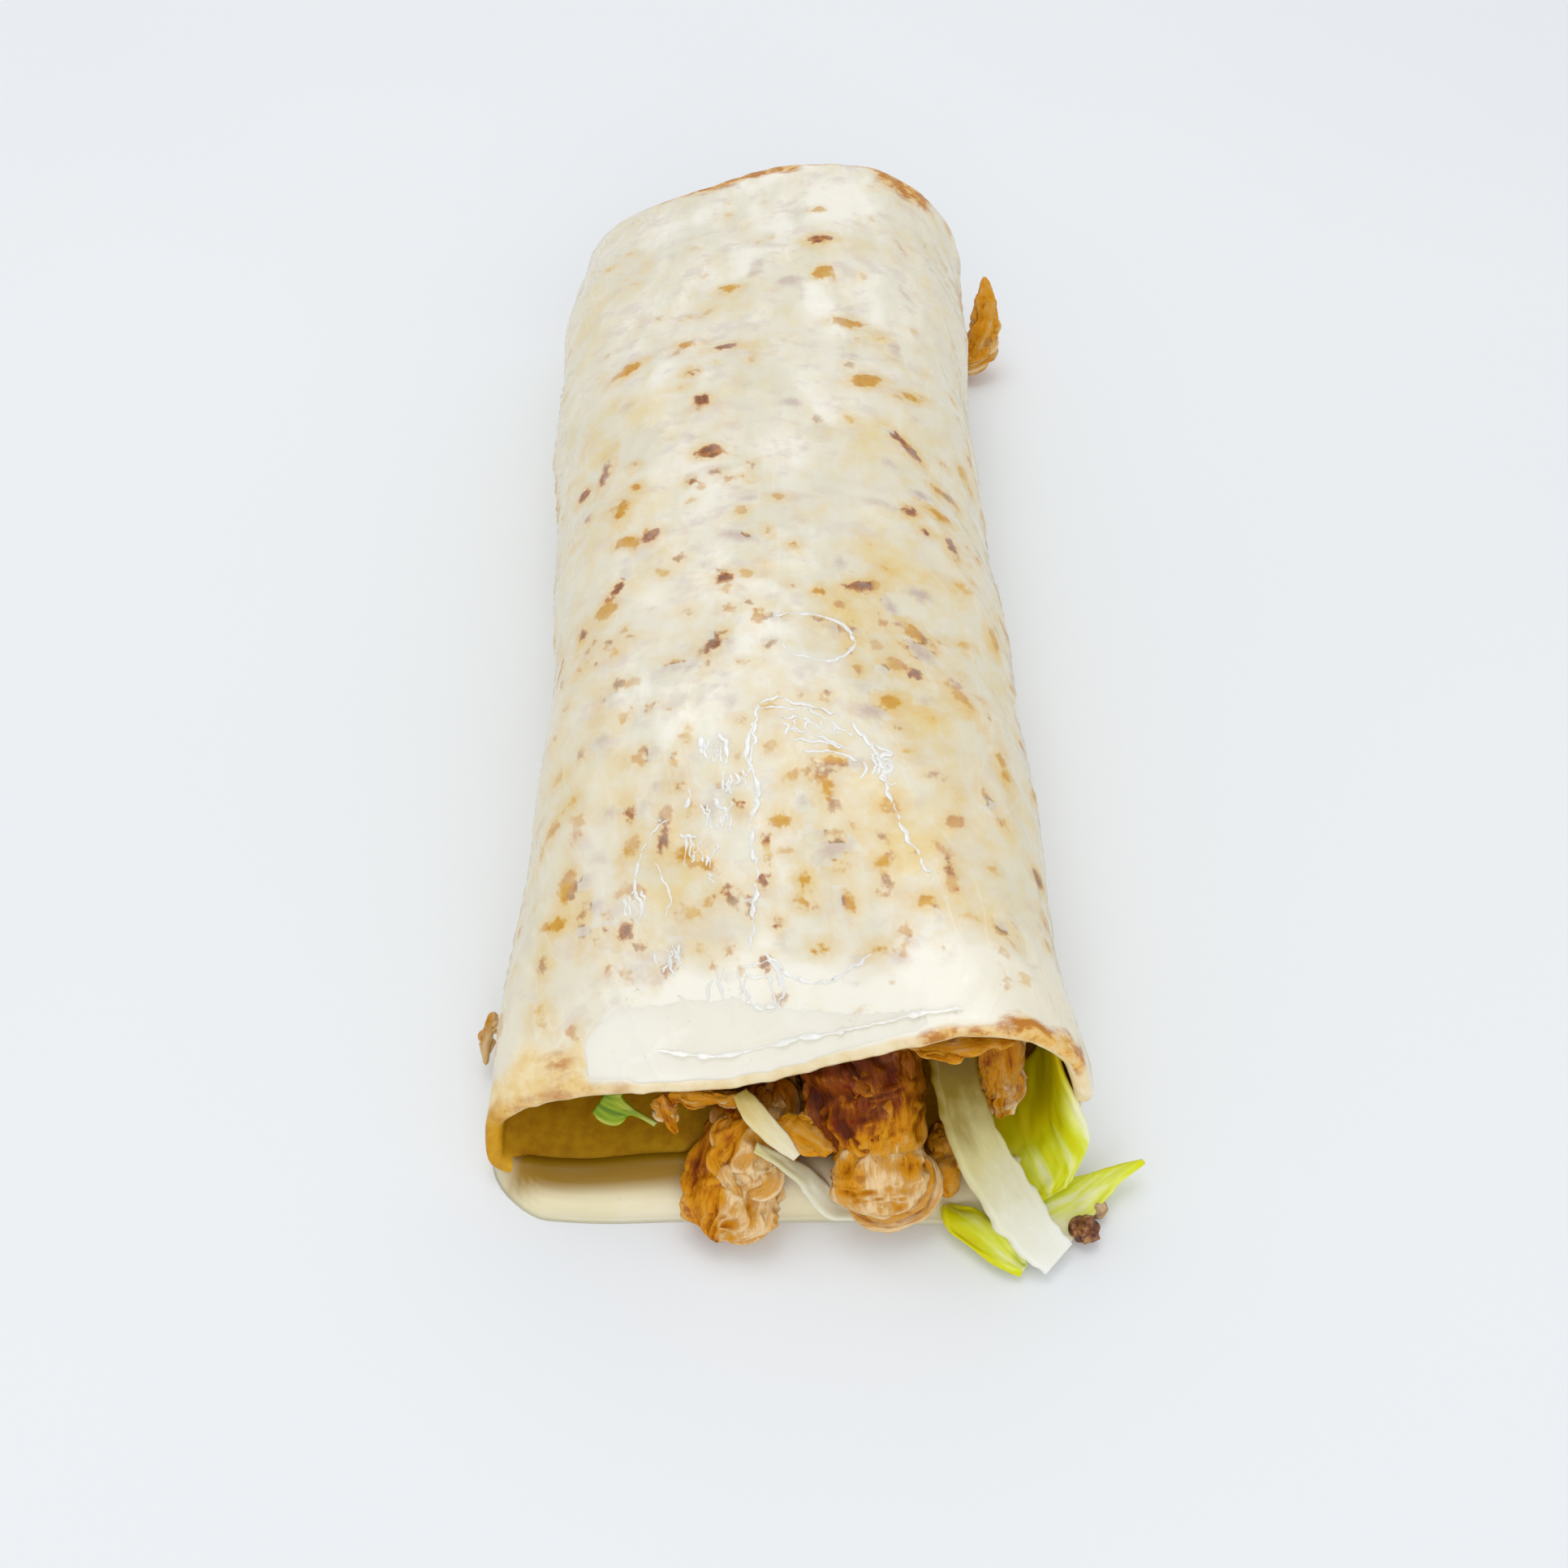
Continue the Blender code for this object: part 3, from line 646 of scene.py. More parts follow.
def all_marks():
    """Every mark as one row: y, arc, half width, half length, tone and strength."""
    rows = [np.concatenate([np.array(marks, float),
                            np.tile([tone, strength], (len(marks), 1))], axis=1)
            for marks, tone, strength in KINDS]
    rows = np.concatenate(rows + [strewn_marks(460, 11, MOUTH_Y + 2.0, FAR_Y - 2.0, 0.0, 195.0),
                                  strewn_marks(150, 12, -90.0, -30.0, 70.0, 136.0)])
    rows[:, 2:4] *= 0.5
    return rows


def flank_side(arc):
    """Which flank an arc length is on: 1 on the right one, 0 on top, -1 on the left one."""
    return np.clip((TOP_ARC - arc) / 30.0, -1.0, 1.0)


def mark_fields(arc, y):
    """Distance inside the nearest mark's edge, in millimetres, with its tone and strength.

    A mark is an oval that leans down and outwards on both flanks. Inside it the distance is
    positive. The best mark so far is kept while the marks are gone through one by one.
    """
    inside = np.full(arc.shape, NO_MARK)
    tone = np.zeros(arc.shape)
    strength = np.zeros(arc.shape)
    dice = np.random.default_rng(5)
    for mark_y, mark_arc, wide, long, mark_tone, mark_strength in all_marks():
        lean = MARK_LEAN * flank_side(mark_arc) * (long > wide)
        lean = lean + dice.uniform(-0.45, 0.45)
        u = (arc - mark_arc) * np.cos(lean) - (y - mark_y) * np.sin(lean)
        v = (arc - mark_arc) * np.sin(lean) + (y - mark_y) * np.cos(lean)
        depth = (1.0 - np.hypot(u / wide, v / long)) * min(wide, long)
        better = depth > inside
        inside = np.where(better, depth, inside)
        tone = np.where(better, mark_tone, tone)
        strength = np.where(better, mark_strength, strength)
    return inside, tone, strength


def warm_glow(arc, y):
    """Soft yellow patches where the dough is lightly toasted: a sum of bell curves."""
    glow = np.zeros(arc.shape)
    for mark_y, mark_arc, wide, long in FAINT_MARKS:
        glow = glow + bell((arc - mark_arc) / (GLOW_REACH * wide),
                           (y - mark_y) / (GLOW_REACH * long))
    return np.clip(glow, 0.0, 1.0)


# %% Toasted edges, the bare patch and the film of sauce
def edge_heat(arc, to_mouth, to_far):
    """Browning along the cut ends, from 0 to 1, by arc and distance to either end."""
    far_right = band(69.0, 73.0, 82.0, 86.0, arc)
    far_left = band(97.0, 101.0, 112.0, 128.0, arc)
    right_lip = band(58.0, 62.0, 70.0, 76.0, arc)
    beside_lip = band(72.0, 76.0, 82.0, 90.0, arc)
    ragged = to_mouth + 0.7 * cloud(arc / 2.2, to_mouth / 2.0, 23, 2)
    heat = far_right * smoothstep(9.0, 3.0, to_far) + far_left * smoothstep(5.0, 1.5, to_far)
    heat = heat + 0.6 * smoothstep(2.0, 0.6, to_far)
    heat = heat + 1.3 * right_lip * smoothstep(3.8, 1.0, ragged)
    heat = heat + 0.9 * beside_lip * smoothstep(1.8, 0.2, ragged)
    heat = heat + 0.45 * smoothstep(122.0, 126.0, arc) * smoothstep(1.4, 0.4, to_mouth)
    heat = heat + 0.4 * smoothstep(139.0, 145.0, arc) * smoothstep(4.0, 0.5, ragged)
    patch = bell((arc - 133.5) / 3.4, (ragged - 3.4) / 2.0)
    return np.clip(heat + 0.6 * patch, 0.0, 1.0)


def bare_share(arc, to_mouth):
    """1 on the patch of bare tortilla at the left of the lip, with a sharp right edge."""
    wobble = 0.5 * cloud(to_mouth / 1.6, 0.0, 21)
    return (smoothstep(129.2, 129.9, arc + wobble)
            * smoothstep(7.0, 4.5, to_mouth + 1.4 * cloud(arc / 3.0, 0.0, 22)))


def film_share(arc, y, to_mouth):
    """How milky the film is, from 0 to 1: runs of sauce, thick at the lip, thin at right."""
    run = 0.5 + 0.26 * cloud(arc / 13.0, y / 17.0, 31, 3) + 0.12 * cloud(arc / 4.0, y / 9.0, 32, 2)
    ragged = to_mouth + 2.6 * cloud(arc / 6.0, y / 5.0, 33, 2)
    run = run + 0.5 * smoothstep(17.0, 6.0, ragged) + 0.2 * smoothstep(10.0, 70.0, y)
    thin = bell((arc - 80.0) / 11.0, (y + 48.0) / 38.0)
    low_flank = smoothstep(142.0, 158.0, arc) + smoothstep(62.0, 48.0, arc)
    top = bell((arc - 103.0) / 16.0) * (1.0 + 0.5 * smoothstep(55.0, 25.0, y))
    return np.clip(run - 0.30 * thin - 0.25 * low_flank + 0.16 * top, 0.0, 1.0)


# %% Relief of the outer face
def wrinkle(arc, y):
    """Thin raised creases, from 0 to 1, that lean down and outwards on both flanks."""
    side = flank_side(arc)
    slant = arc - 0.6 * side * y
    lines = 1.0 - np.abs(cloud(slant / 5.5, y / 19.0, 45, 2))
    cross = 1.0 - np.abs(cloud(arc / 8.0 + 3.0, y / 6.0, 46, 2))
    on_flank = 0.35 + 0.65 * np.abs(side)**2
    return np.clip(lines, 0.0, 1.0)**6 * on_flank + 0.5 * np.clip(cross, 0.0, 1.0)**9


def skin_height(arc, y, inside):
    """Height over the plain sheet: slow dents, creases and blisters, in millimetres."""
    slant = arc - 0.55 * flank_side(arc) * y
    dents = 0.38 * cloud(slant / 9.0, y / 24.0, 41, 2) + 0.12 * cloud(slant / 3.6, y / 9.0, 42)
    fold = bell((y - 63.0 - 0.5 * (arc - 121.0)) / 2.4) * smoothstep(112.0, 120.0, arc)
    blister = 0.15 * smoothstep(-0.8, 0.7, inside)
    fine = 0.05 * cloud(arc / 1.5, y / 1.7, 44, 2)
    return dents - 0.35 * fold + 0.38 * wrinkle(arc, y) + blister + fine


# %% [markdown]
# ## The tortilla's mesh
# The sheet is a pillow of two grids, 2.4 mm apart, whose edges are rounded because the
# thickness falls away there along a quarter circle. The lines are close together where the
# sheet is seen and wide apart underneath. The inner face is left smoother than the outer.

# %% Lines of the sheet's grid
EDGE_LINES = (0.0, 0.12, 0.42, 0.95)
ROUND_OVER = 1.1
SKIN_EASE = 2.5
MEAN_ARC = 202.0


def with_edges(lines, low, high):
    """Adds the close lines that round both edges of the sheet over, in millimetres."""
    close = np.array(EDGE_LINES)
    inner = lines[(lines > low + 1.5) & (lines < high - 1.5)]
    return np.concatenate([low + close, inner, (high - close)[::-1]])


base_right = np.arange(-FLAP, 28.0, 2.3)
seen = np.arange(28.0, 172.0, 0.84)
base_left = np.arange(172.0, MEAN_ARC + TUCK, 2.5)
around = with_edges(np.concatenate([base_right, seen, base_left]), -FLAP, MEAN_ARC + TUCK)
lengthwise = with_edges(np.linspace(0.0, LENGTH, 216), 0.0, LENGTH)
print("sheet grid", len(around), "by", len(lengthwise))


# %% Tortilla
def tortilla_body():
    """The rolled sheet and its stored fields.

    Middle surface = outer face - half a thickness along the normal. Front and back lie half
    a thickness either side of it, and half falls to nothing at the rim as a quarter circle.
    """
    share = ((around + FLAP) / (MEAN_ARC + FLAP + TUCK))[:, None]
    mouth, far = sheet_ends(share[:, 0])
    along = (lengthwise / LENGTH)[None, :]
    y = mouth[:, None] + (far - mouth)[:, None] * along
    share = np.broadcast_to(share, y.shape)
    table = read_sheet(share, y)
    z, arc = table[..., 1], table[..., 4]
    to_mouth = y - mouth[:, None]
    to_far = far[:, None] - y
    to_flap = arc + FLAP
    to_edge = np.minimum(np.minimum(to_mouth, to_far),
                         np.minimum(to_flap, to_flap.max() - to_flap))
    half = 0.5 * SHEET * quarter_round(to_edge / ROUND_OVER)
    inside, tone, strength = mark_fields(arc, y)
    height = (skin_height(arc, y, inside) * smoothstep(0.0, SKIN_EASE, to_edge)
              * smoothstep(2.0, 8.0, z))
    lining = 0.18 * cloud(arc / 7.0, y / 8.0, 51, 2) * smoothstep(0.0, 3.0, to_edge)
    front = off_sheet(table, y, half + height - 0.5 * SHEET)
    back = off_sheet(table, y, -half + lining - 0.5 * SHEET)
    left_low = smoothstep(141.0, 149.0, arc)
    from_rim = smoothstep(0.2, 1.6, to_edge)
    tucked = np.maximum(smoothstep(186.0, 192.0, arc), left_low * smoothstep(2.6, 0.6, to_mouth))
    # The lining colour, part painted shade and warm light, is full near the mouth and falls to 0.4 of
    # its share at the far end.
    dim = 1.0 - 0.6 * smoothstep(-20.0, 60.0, y)
    nothing = np.zeros_like(arc)
    # each field on the outer face, then on the inner one
    fields = {
        "inside_mark": (inside, np.full_like(inside, NO_MARK)),
        "tone": (tone, tone),
        "strength": (strength, nothing),
        "edge_heat": (edge_heat(arc, to_mouth, to_far), nothing),
        "warm": (warm_glow(arc, y), nothing),
        "wrinkle": (wrinkle(arc, y), nothing),
        "bare": (bare_share(arc, to_mouth), from_rim),
        "film": (film_share(arc, y, to_mouth), nothing),
        "lining": (dim * tucked, dim * np.maximum(from_rim, left_low)),
        "cut": (smoothstep(1.0, 0.3, to_mouth), smoothstep(1.6, 0.8, to_mouth)),
        "flank": (smoothstep(18.0, 42.0, np.abs(arc - 103.0)), nothing),
    }
    return pillow(front, back), {key: pillow_rows(*pair) for key, pair in fields.items()}


# %% [markdown]
# ## The tortilla's finish
# Baked flour dough is cream, and it browns from yellow ochre through orange to dark brown.
# The sauce over it is a milky film: where the film is thick, even a dark mark looks pale
# mauve or grey, and where it is thin, the marks keep their warm colour. The film is wet and
# smooth, so it is glossier than the bare dough at the lip. Inside the roll the lining is
# painted a deep warm yellow in the mouth: part oil soaked into the dough, and part painted
# shade and the warm light that comes through the dough and off the chicken. It pales towards
# the far end.

# %% Tortilla finish
def tortilla_finish():
    """Dough, toast, film and lining, from the fields stored on the mesh."""
    f = Finish("tortilla_under_sauce", IOR=1.38, Coat_Roughness=0.08,
               Subsurface_Weight=0.10, Subsurface_Scale=0.0015,
               Subsurface_Radius=(1.0, 0.7, 0.4))
    spot = f.place()
    fine = f.noise(spot, 900.0, 3.0, 0.6)
    medium = f.noise(spot, 400.0, 3.0, 0.6)
    ochre_cloud = f.noise(f.stretch(spot, (1.0, 0.8, 1.0)), 185.0, 4.0, 0.62)
    lilac_cloud = f.noise(f.stretch(spot, (0.9, 1.1, 1.0)), 230.0, 3.0, 0.6)
    green_cloud = f.noise(f.stretch(spot, (1.2, 0.5, 1.0)), 120.0, 3.0, 0.6)
    film, bare, lining, strength, tone, warm, flank = (
        f.field(key) for key in ("film", "bare", "lining", "strength", "tone", "warm", "flank"))

    depth = f.field("inside_mark") + (fine - 0.5) * 1.4 + (medium - 0.5) * 2.4
    halo = depth.rise(-2.2, 0.1)
    crisp = depth.rise(-0.2, 0.4)
    heart = depth.rise(0.1, 0.8) * fine.rise(0.32, 0.56) * tone.rise(0.4, 0.55)
    mauve = tone.rise(0.8, 0.9)
    core = crisp + (depth.rise(-1.0, 1.0) - crisp) * mauve

    dough = f.mix(ochre_cloud.rise(0.42, 0.66), paint(227, 220, 196), paint(228, 207, 150))
    dough = f.mix(warm * medium.rise(0.2, 0.55) * 0.7, dough, paint(232, 202, 108))
    ring = halo * strength * (1.0 - mauve)
    browned = f.mix(ring * 0.75, dough, paint(226, 182, 66))
    toast = f.ramp(tone + (medium - 0.5) * 0.5 + (fine - 0.5) * 0.3, [
        (0.0, paint(220, 180, 62)), (0.25, paint(206, 150, 30)), (0.45, paint(192, 118, 20)),
        (0.65, paint(160, 84, 16)), (0.9, paint(118, 58, 18))])
    toast = f.mix(heart * 0.7, toast, paint(98, 50, 22))
    toast = f.mix(mauve, toast, paint(186, 158, 152))
    marked = f.mix(core * strength, browned, toast)
    milk = film * 0.88 * (1.0 - core * strength * (0.94 - mauve * 0.35)) * (1.0 - warm * 0.35)
    milk = milk * (1.0 - ring * 0.35)
    # A net of thin lines of film folds, painted whiter as the glints along them (painted highlight),
    # and raised in the bump.
    glint_web = f.noise(f.stretch(spot, (1.0, 0.45, 1.0)), 110.0, 2.0, 0.5, 0.5).line(0.03)
    glint_web = glint_web * (0.3 + flank * 0.7) * (1.0 - core * strength * 0.7)
    # The wrinkle crests are painted paler too, as painted highlight.
    milk = milk + f.field("wrinkle") * 0.4 + glint_web * 0.3 + film.rise(0.8, 1.0) * 0.2
    veil = f.mix((film.rise(0.5, 1.0) + glint_web * 0.6).clamp(), paint(235, 230, 214),
                 paint(248, 244, 230))
    tinted = 1.0 - film.rise(0.85, 1.0)
    veil = f.mix(lilac_cloud.rise(0.48, 0.68) * tinted * 0.9, veil, paint(224, 213, 207))
    veil = f.mix(green_cloud.rise(0.45, 0.65) * tinted * 0.5, veil, paint(220, 218, 194))
    # Painted shade: the flanks are painted darker and yellower than the top, where they turn from the
    # light.
    veil = f.mix(flank * 0.55, veil, paint(222, 210, 174))
    covered = f.mix(milk.clamp(), marked, veil)

    streaks = f.noise(f.stretch(spot, (0.5, 1.0, 0.5)), 620.0, 4.0, 0.65)
    crust = f.mix(streaks.rise(0.40, 0.58), paint(230, 180, 84), paint(190, 122, 34))
    bare_dough = f.mix(medium.rise(0.35, 0.7), paint(241, 221, 176), paint(232, 202, 136))
    skin = f.mix((bare + f.field("cut") * 0.8).clamp(), covered, bare_dough)
    heat = f.field("edge_heat")
    hot = (heat * 1.6 * (streaks * 2.0 - 0.1) - 0.3).clamp()
    skin = f.mix(hot, skin, crust)
    # The lining: a deep yellow, part oil soaked into the dough, part painted shade and warm light.
    inner = f.mix(medium.rise(0.3, 0.7), paint(212, 160, 16), paint(190, 132, 4))
    colour = f.mix(lining, skin, inner)

    dry = (bare + lining).clamp()
    roughness = 0.24 + dry * 0.34 + core * 0.06
    relief = f.bump(fine * 0.4 + medium * 0.5 + glint_web * (1.0 - dry) * 0.5, 0.18, 0.65)
    return f.finish(Base_Color=colour, Roughness=roughness, Coat_Weight=(1.0 - dry) * 0.25,
                    Normal=relief)


body, fields = tortilla_body()
place_piece("tortilla_sheet", body, tortilla_finish(), ["tortilla"], fields)

# %% [markdown]
# ## Sauce
# The sauce is a thin cream of milk and flour. Where it gathers it hides the dough: in a
# thick tongue behind the lip, and in a narrow foot where it has run down to the base and
# into the mouth. Both are bodies of their own with rounded edges, because a liquid edge
# catches the light. The tongue is laid on the sheet by arc and length; the foot is a ring
# that follows the base, with a low rounded section.

# %% Sauce finish
def sauce_finish(name, light, shade, **gloss):
    """Wet cream sauce: pale, even, a little see-through, with faint clouds."""
    f = Finish(name, IOR=1.36, Subsurface_Weight=0.2, Subsurface_Scale=0.002,
               Subsurface_Radius=(1.0, 0.9, 0.7), **gloss)
    spot = f.place()
    clouds = f.noise(spot, 110.0, 3.0, 0.55)
    specks = f.noise(spot, 900.0, 2.0, 0.5)
    colour = f.mix(clouds.rise(0.35, 0.65), paint(*shade), paint(*light))
    colour = f.mix(specks.rise(0.66, 0.78) * 0.35, colour, paint(226, 208, 176))
    # Dark yellow in the mouth's pocket: part seasoning stain, part painted shade under the lip.
    colour = f.mix(f.field("stain"), colour, paint(150, 112, 8))
    return f.finish(Base_Color=colour, Normal=f.bump(clouds, 0.25, 0.3))


SAUCE = sauce_finish("cream_sauce", (248, 243, 228), (245, 239, 221), Roughness=0.24,
                     Coat_Weight=0.25, Coat_Roughness=0.08)
POOL = sauce_finish("cream_sauce_low", (245, 238, 208), (241, 232, 194), Roughness=0.4,
                    Coat_Weight=0.1, Coat_Roughness=0.08)
# The runs' sauce is painted near pure white, as painted highlight for the glints on the film.
GLINT_WHITE_SAUCE = sauce_finish("cream_sauce_edge_glint_white", (253, 252, 246), (251, 249, 240), Roughness=0.1,
                          Coat_Weight=1.0, Coat_Roughness=0.03)


# %% Tongue of sauce behind the lip
TONGUE_LEFT = 129.6
TONGUE_WIDE = 51.5
TONGUE_SINK = 0.12


def lip_sauce():
    """A pillow on the sheet: u runs round the roll from left to right, v back from the lip."""
    u = np.linspace(0.0, 1.0, 190)[:, None]
    v = np.linspace(0.0, 1.0, 60)[None, :]
    arc = TONGUE_LEFT - TONGUE_WIDE * u + 0.0 * v
    near = 0.5 + 0.9 * smoothstep(0.15, 0.0, u) + 0.2 * cloud(arc / 4.0, 0.0, 61)
    near = near + 1.0 * smoothstep(0.6, 1.0, u)
    depth = through(np.array([0.0, 0.08, 0.2, 0.45, 0.7, 0.9, 1.0]),
                    np.array([6.0, 9.6, 10.4, 9.0, 5.6, 3.2, 1.2]), u[:, 0])[:, None]
    depth = depth + (0.9 * cloud(arc / 7.0, 0.5, 62)) * smoothstep(1.0, 0.8, u)
    share = share_at(arc, np.full_like(arc, MOUTH_Y))
    mouth = sheet_ends(share[:, 0])[0][:, None]
    y = mouth + near + depth * v
    table = read_sheet(share_at(arc, y), y)
    ground = skin_height(arc, y, mark_fields(arc, y)[0]) * smoothstep(0.0, SKIN_EASE, y - mouth)
    rim = np.minimum(TONGUE_WIDE * u, v * depth)
    thick = 0.42 * quarter_round(rim / 1.3)
    thick = thick + 0.10 * cloud(arc / 6.0, y / 4.0, 63, 2) * smoothstep(0.3, 2.0, rim)
    thick = thick * smoothstep(0.0, 5.5, (1.0 - v) * depth)
    thick = thick * smoothstep(0.0, 9.0, (1.0 - u) * TONGUE_WIDE)
    base = ground - TONGUE_SINK
    return pillow(off_sheet(table, y, base + thick), off_sheet(table, y, base - 0.3 * (thick > 0)))


place_piece("sauce_lip", lip_sauce(), SAUCE)


# %% Foot of sauce round the base
def foot_outline(count):
    """The base's outline, counted round: down the left side, across the mouth and back."""
    y = np.linspace(FAR_Y - 1.0, MOUTH_Y - 2.0, count)
    table = through(SECTIONS[:, 0], SECTIONS[:, 1:3], y)
    left = np.stack([table[:, 0] + 3.0, y], axis=-1)
    right = np.stack([table[:, 1] - 3.0, y], axis=-1)[::-1]
    return np.concatenate([left, right])


def pocket_floor():
    """Height of the sheet's inner face along the floor of the mouth, smoothed, by x."""
    x = np.linspace(-38.0, 40.0, 79)
    table, _ = read_section(MOUTH_Y + 2.0)
    below = table[:, 3] < -0.6
    inner_x = table[below, 0] - SHEET * table[below, 2]
    inner_z = table[below, 1] - SHEET * table[below, 3]
    height = np.array([inner_z[np.abs(inner_x - value) < 1.5].max(initial=SHEET) for value in x])
    return x, smoothed_line(height)


# height, turns round the base and start of each wave in the foot's outer edge
WAVES = ((1.1, 5.0, 1.0), (0.8, 11.0, 0.0), (0.4, 23.0, 2.0))
TOP_PART = 0.6
GROUND = 0.05


def sauce_foot():
    """A closed ring round the base: low and rounded outside, hidden under the roll inside.

    s counts round the roll and v round the section: over the top from the outer edge to the
    inner one, and back along the ground. Before the mouth the ring swells and runs in.
    """
    corners = foot_outline(60)
    loop = np.concatenate([corners, corners[:1]])
    steps = np.hypot(*np.diff(loop, axis=0).T)
    walked = np.concatenate([[0.0], np.cumsum(steps)]) / steps.sum()
    centre = np.array([-0.5, 0.0])
    s = np.linspace(0.0, 1.0, 620, endpoint=False)
    base = np.stack([np.interp(s, walked, loop[:, k]) for k in (0, 1)], axis=-1)
    for _ in range(30):
        base = 0.5 * base + 0.25 * (np.roll(base, 1, axis=0) + np.roll(base, -1, axis=0))
    ahead = unit(np.roll(base, -1, axis=0) - np.roll(base, 1, axis=0))
    out = np.stack([-ahead[:, 1], ahead[:, 0]], axis=-1)
    out = out * np.sign(np.einsum("ij,ij->i", out, base - centre))[:, None]
    front = smoothstep(-86.0, -99.0, base[:, 1])
    wave = sum(height * np.sin(turns * (2.0 * np.pi * s) + start) for height, turns, start in WAVES)
    middle = band(-39.0, -30.0, 28.0, 38.0, base[:, 0])
    reach = 1.5 + 0.3 * wave + front * (0.4 + 5.4 * middle)
    hide = 3.0 + 9.5 * front
    v = np.linspace(0.0, 1.0, 44, endpoint=False)[None, :]
    top = v < TOP_PART
    over = np.where(top, v / TOP_PART, (1.0 - v) / (1.0 - TOP_PART))
    across = reach[:, None] * (1.0 - over) - hide[:, None] * over
    x, y = (base[:, [k]] + out[:, [k]] * across for k in (0, 1))
    from_edge = over * (reach + hide)[:, None]
    inner_edge = (1.0 - over) * (reach + hide)[:, None]
    swell = (smoothstep(-108.5, -101.0, y) * smoothstep(-38.5, -35.5, x)
             * smoothstep(39.0, 33.0, x))
    floor_in = np.interp(x, *pocket_floor()) + 0.3 - 1.3 * np.clip(y + 100.0, 0.0, 20.0)
    level = 0.34 + 0.06 * cloud(x / 9.0, y / 9.0, 72, 2)
    level = level + np.maximum(floor_in - level, 0.0) * swell
    wall = band(-2.5, 0.0, 0.0, 5.0, across) * (1.0 - front)[:, None]
    level = level + 1.0 * wall
    rounding = smoothstep(0.0, 3.4, from_edge)**0.7 * quarter_round(inner_edge / 1.5)
    z = np.where(top, GROUND + level * rounding, GROUND)
    return ring(np.stack([x, y, z], axis=-1))


def pocket_stain_and_shade(points):
    """1 inside the pocket, fading out in front: seasoning stain and painted shade under the lip."""
    x, y = points[:, 0], points[:, 1]
    fade = 0.85 * smoothstep(-105.3, -102.9, y) + 0.15 * smoothstep(-109.0, -104.0, y)
    return (fade * smoothstep(-86.0, -92.0, y) * smoothstep(-38.4, -33.4, x)
            * (1.0 - 0.6 * smoothstep(-10.0, 6.0, x)) * smoothstep(36.0, 24.0, x))


body = sauce_foot()
place_piece("sauce_foot", body, POOL, (), {"stain": pocket_stain_and_shade(body[0])})

# %% Runs of sauce
# arc and y along each run, then its width: the raised edges of the wet film, painted near
# white as the glints along them (painted highlight)
RUNS = (
    ([(103, -50), (103.4, -53), (104.8, -58), (103.6, -63), (104.6, -69), (104.4, -76),
      (106, -84)], 0.55),
    ([(103, -50), (99, -49.6), (94, -51.5), (89.5, -54), (86.5, -60), (85.5, -66),
      (83.5, -71), (81, -77)], 0.5),
    ([(103.4, -50.6), (99, -50.8), (94.4, -52.4), (90, -55.6)], 0.4),
    ([(98, -56), (94, -56.6), (90, -58)], 0.4), ([(97, -57.6), (93, -58), (89.6, -59.4)], 0.35),
    ([(87.6, -57), (85, -58), (87, -59.4), (84.6, -60.4), (86.6, -62), (84.4, -63)], 0.5),
    ([(103.6, -53), (104, -58), (105.4, -62)], 0.4), ([(113, -62), (113.4, -65)], 0.5),
    ([(106.6, -87), (104, -86.6), (103.6, -90), (106, -91)], 0.4),
    ([(116, -66), (120, -70), (121, -76)], 0.3), ([(109, -70), (110.6, -73), (110, -76)], 0.35),
    ([(104, -84), (100, -87.6), (95, -88.4), (90, -86)], 0.45),
    ([(101, -34), (96, -32.6), (91, -34.5), (89, -38.5), (92, -42), (97, -41.4), (101, -37.6)],
     0.45),
    ([(100, -52.6), (96, -53.2), (92, -55.4)], 0.4), ([(99, -54.4), (95, -55.2), (91.5, -57)], 0.4),
    ([(111.4, -55), (111, -57.6)], 0.7), ([(108.4, -54.4), (107.4, -57), (108, -59.6)], 0.5),
    ([(109.6, -64), (108, -66), (109, -68)], 0.5), ([(114.6, -68), (112, -69.5), (113, -72)], 0.45),
    ([(107, -86), (103, -85.4), (102, -89), (105.5, -90.4), (107.4, -88)], 0.5),
    ([(88, -58), (85, -60), (86.6, -62)], 0.5), ([(118, -72), (116, -76), (117, -79)], 0.35),
    ([(120, -94.2), (112, -95.2), (102, -94.6), (92, -95.2), (79, -95)], 0.7),
)
LIP_RUN = len(RUNS) - 1
# arc, y, width and length of the rippled spots, each a few short ridges side by side,
# painted near white as patches of glints (painted highlight)
RIPPLES = ((109.6, -57.2, 2.6, 3.6), (107, -62, 2.6, 3.4), (109, -66.5, 3.6, 4), (112.4, -70.5, 3.2, 4),
           (87, -60.5, 3.6, 4), (116.5, -84, 3, 3), (109, -87.5, 5, 3.4), (104.5, -91, 3, 3),
           (96, -54, 7, 2.4), (121, -77, 2, 4))


def ripple_runs():
    """The rippled spots as runs: five ridges across each, of uneven length and lean."""
    dice = np.random.default_rng(77)
    runs = []
    for arc, y, wide, long in RIPPLES:
        for share in np.linspace(-0.5, 0.5, 5):
            ends = [y + long * dice.uniform(0.25, 0.6), y, y - long * dice.uniform(0.25, 0.6)]
            drift = wide * share + dice.uniform(-0.5, 0.5, 3)
            runs.append((np.stack([arc + drift, ends], axis=-1), 0.32))
    return runs


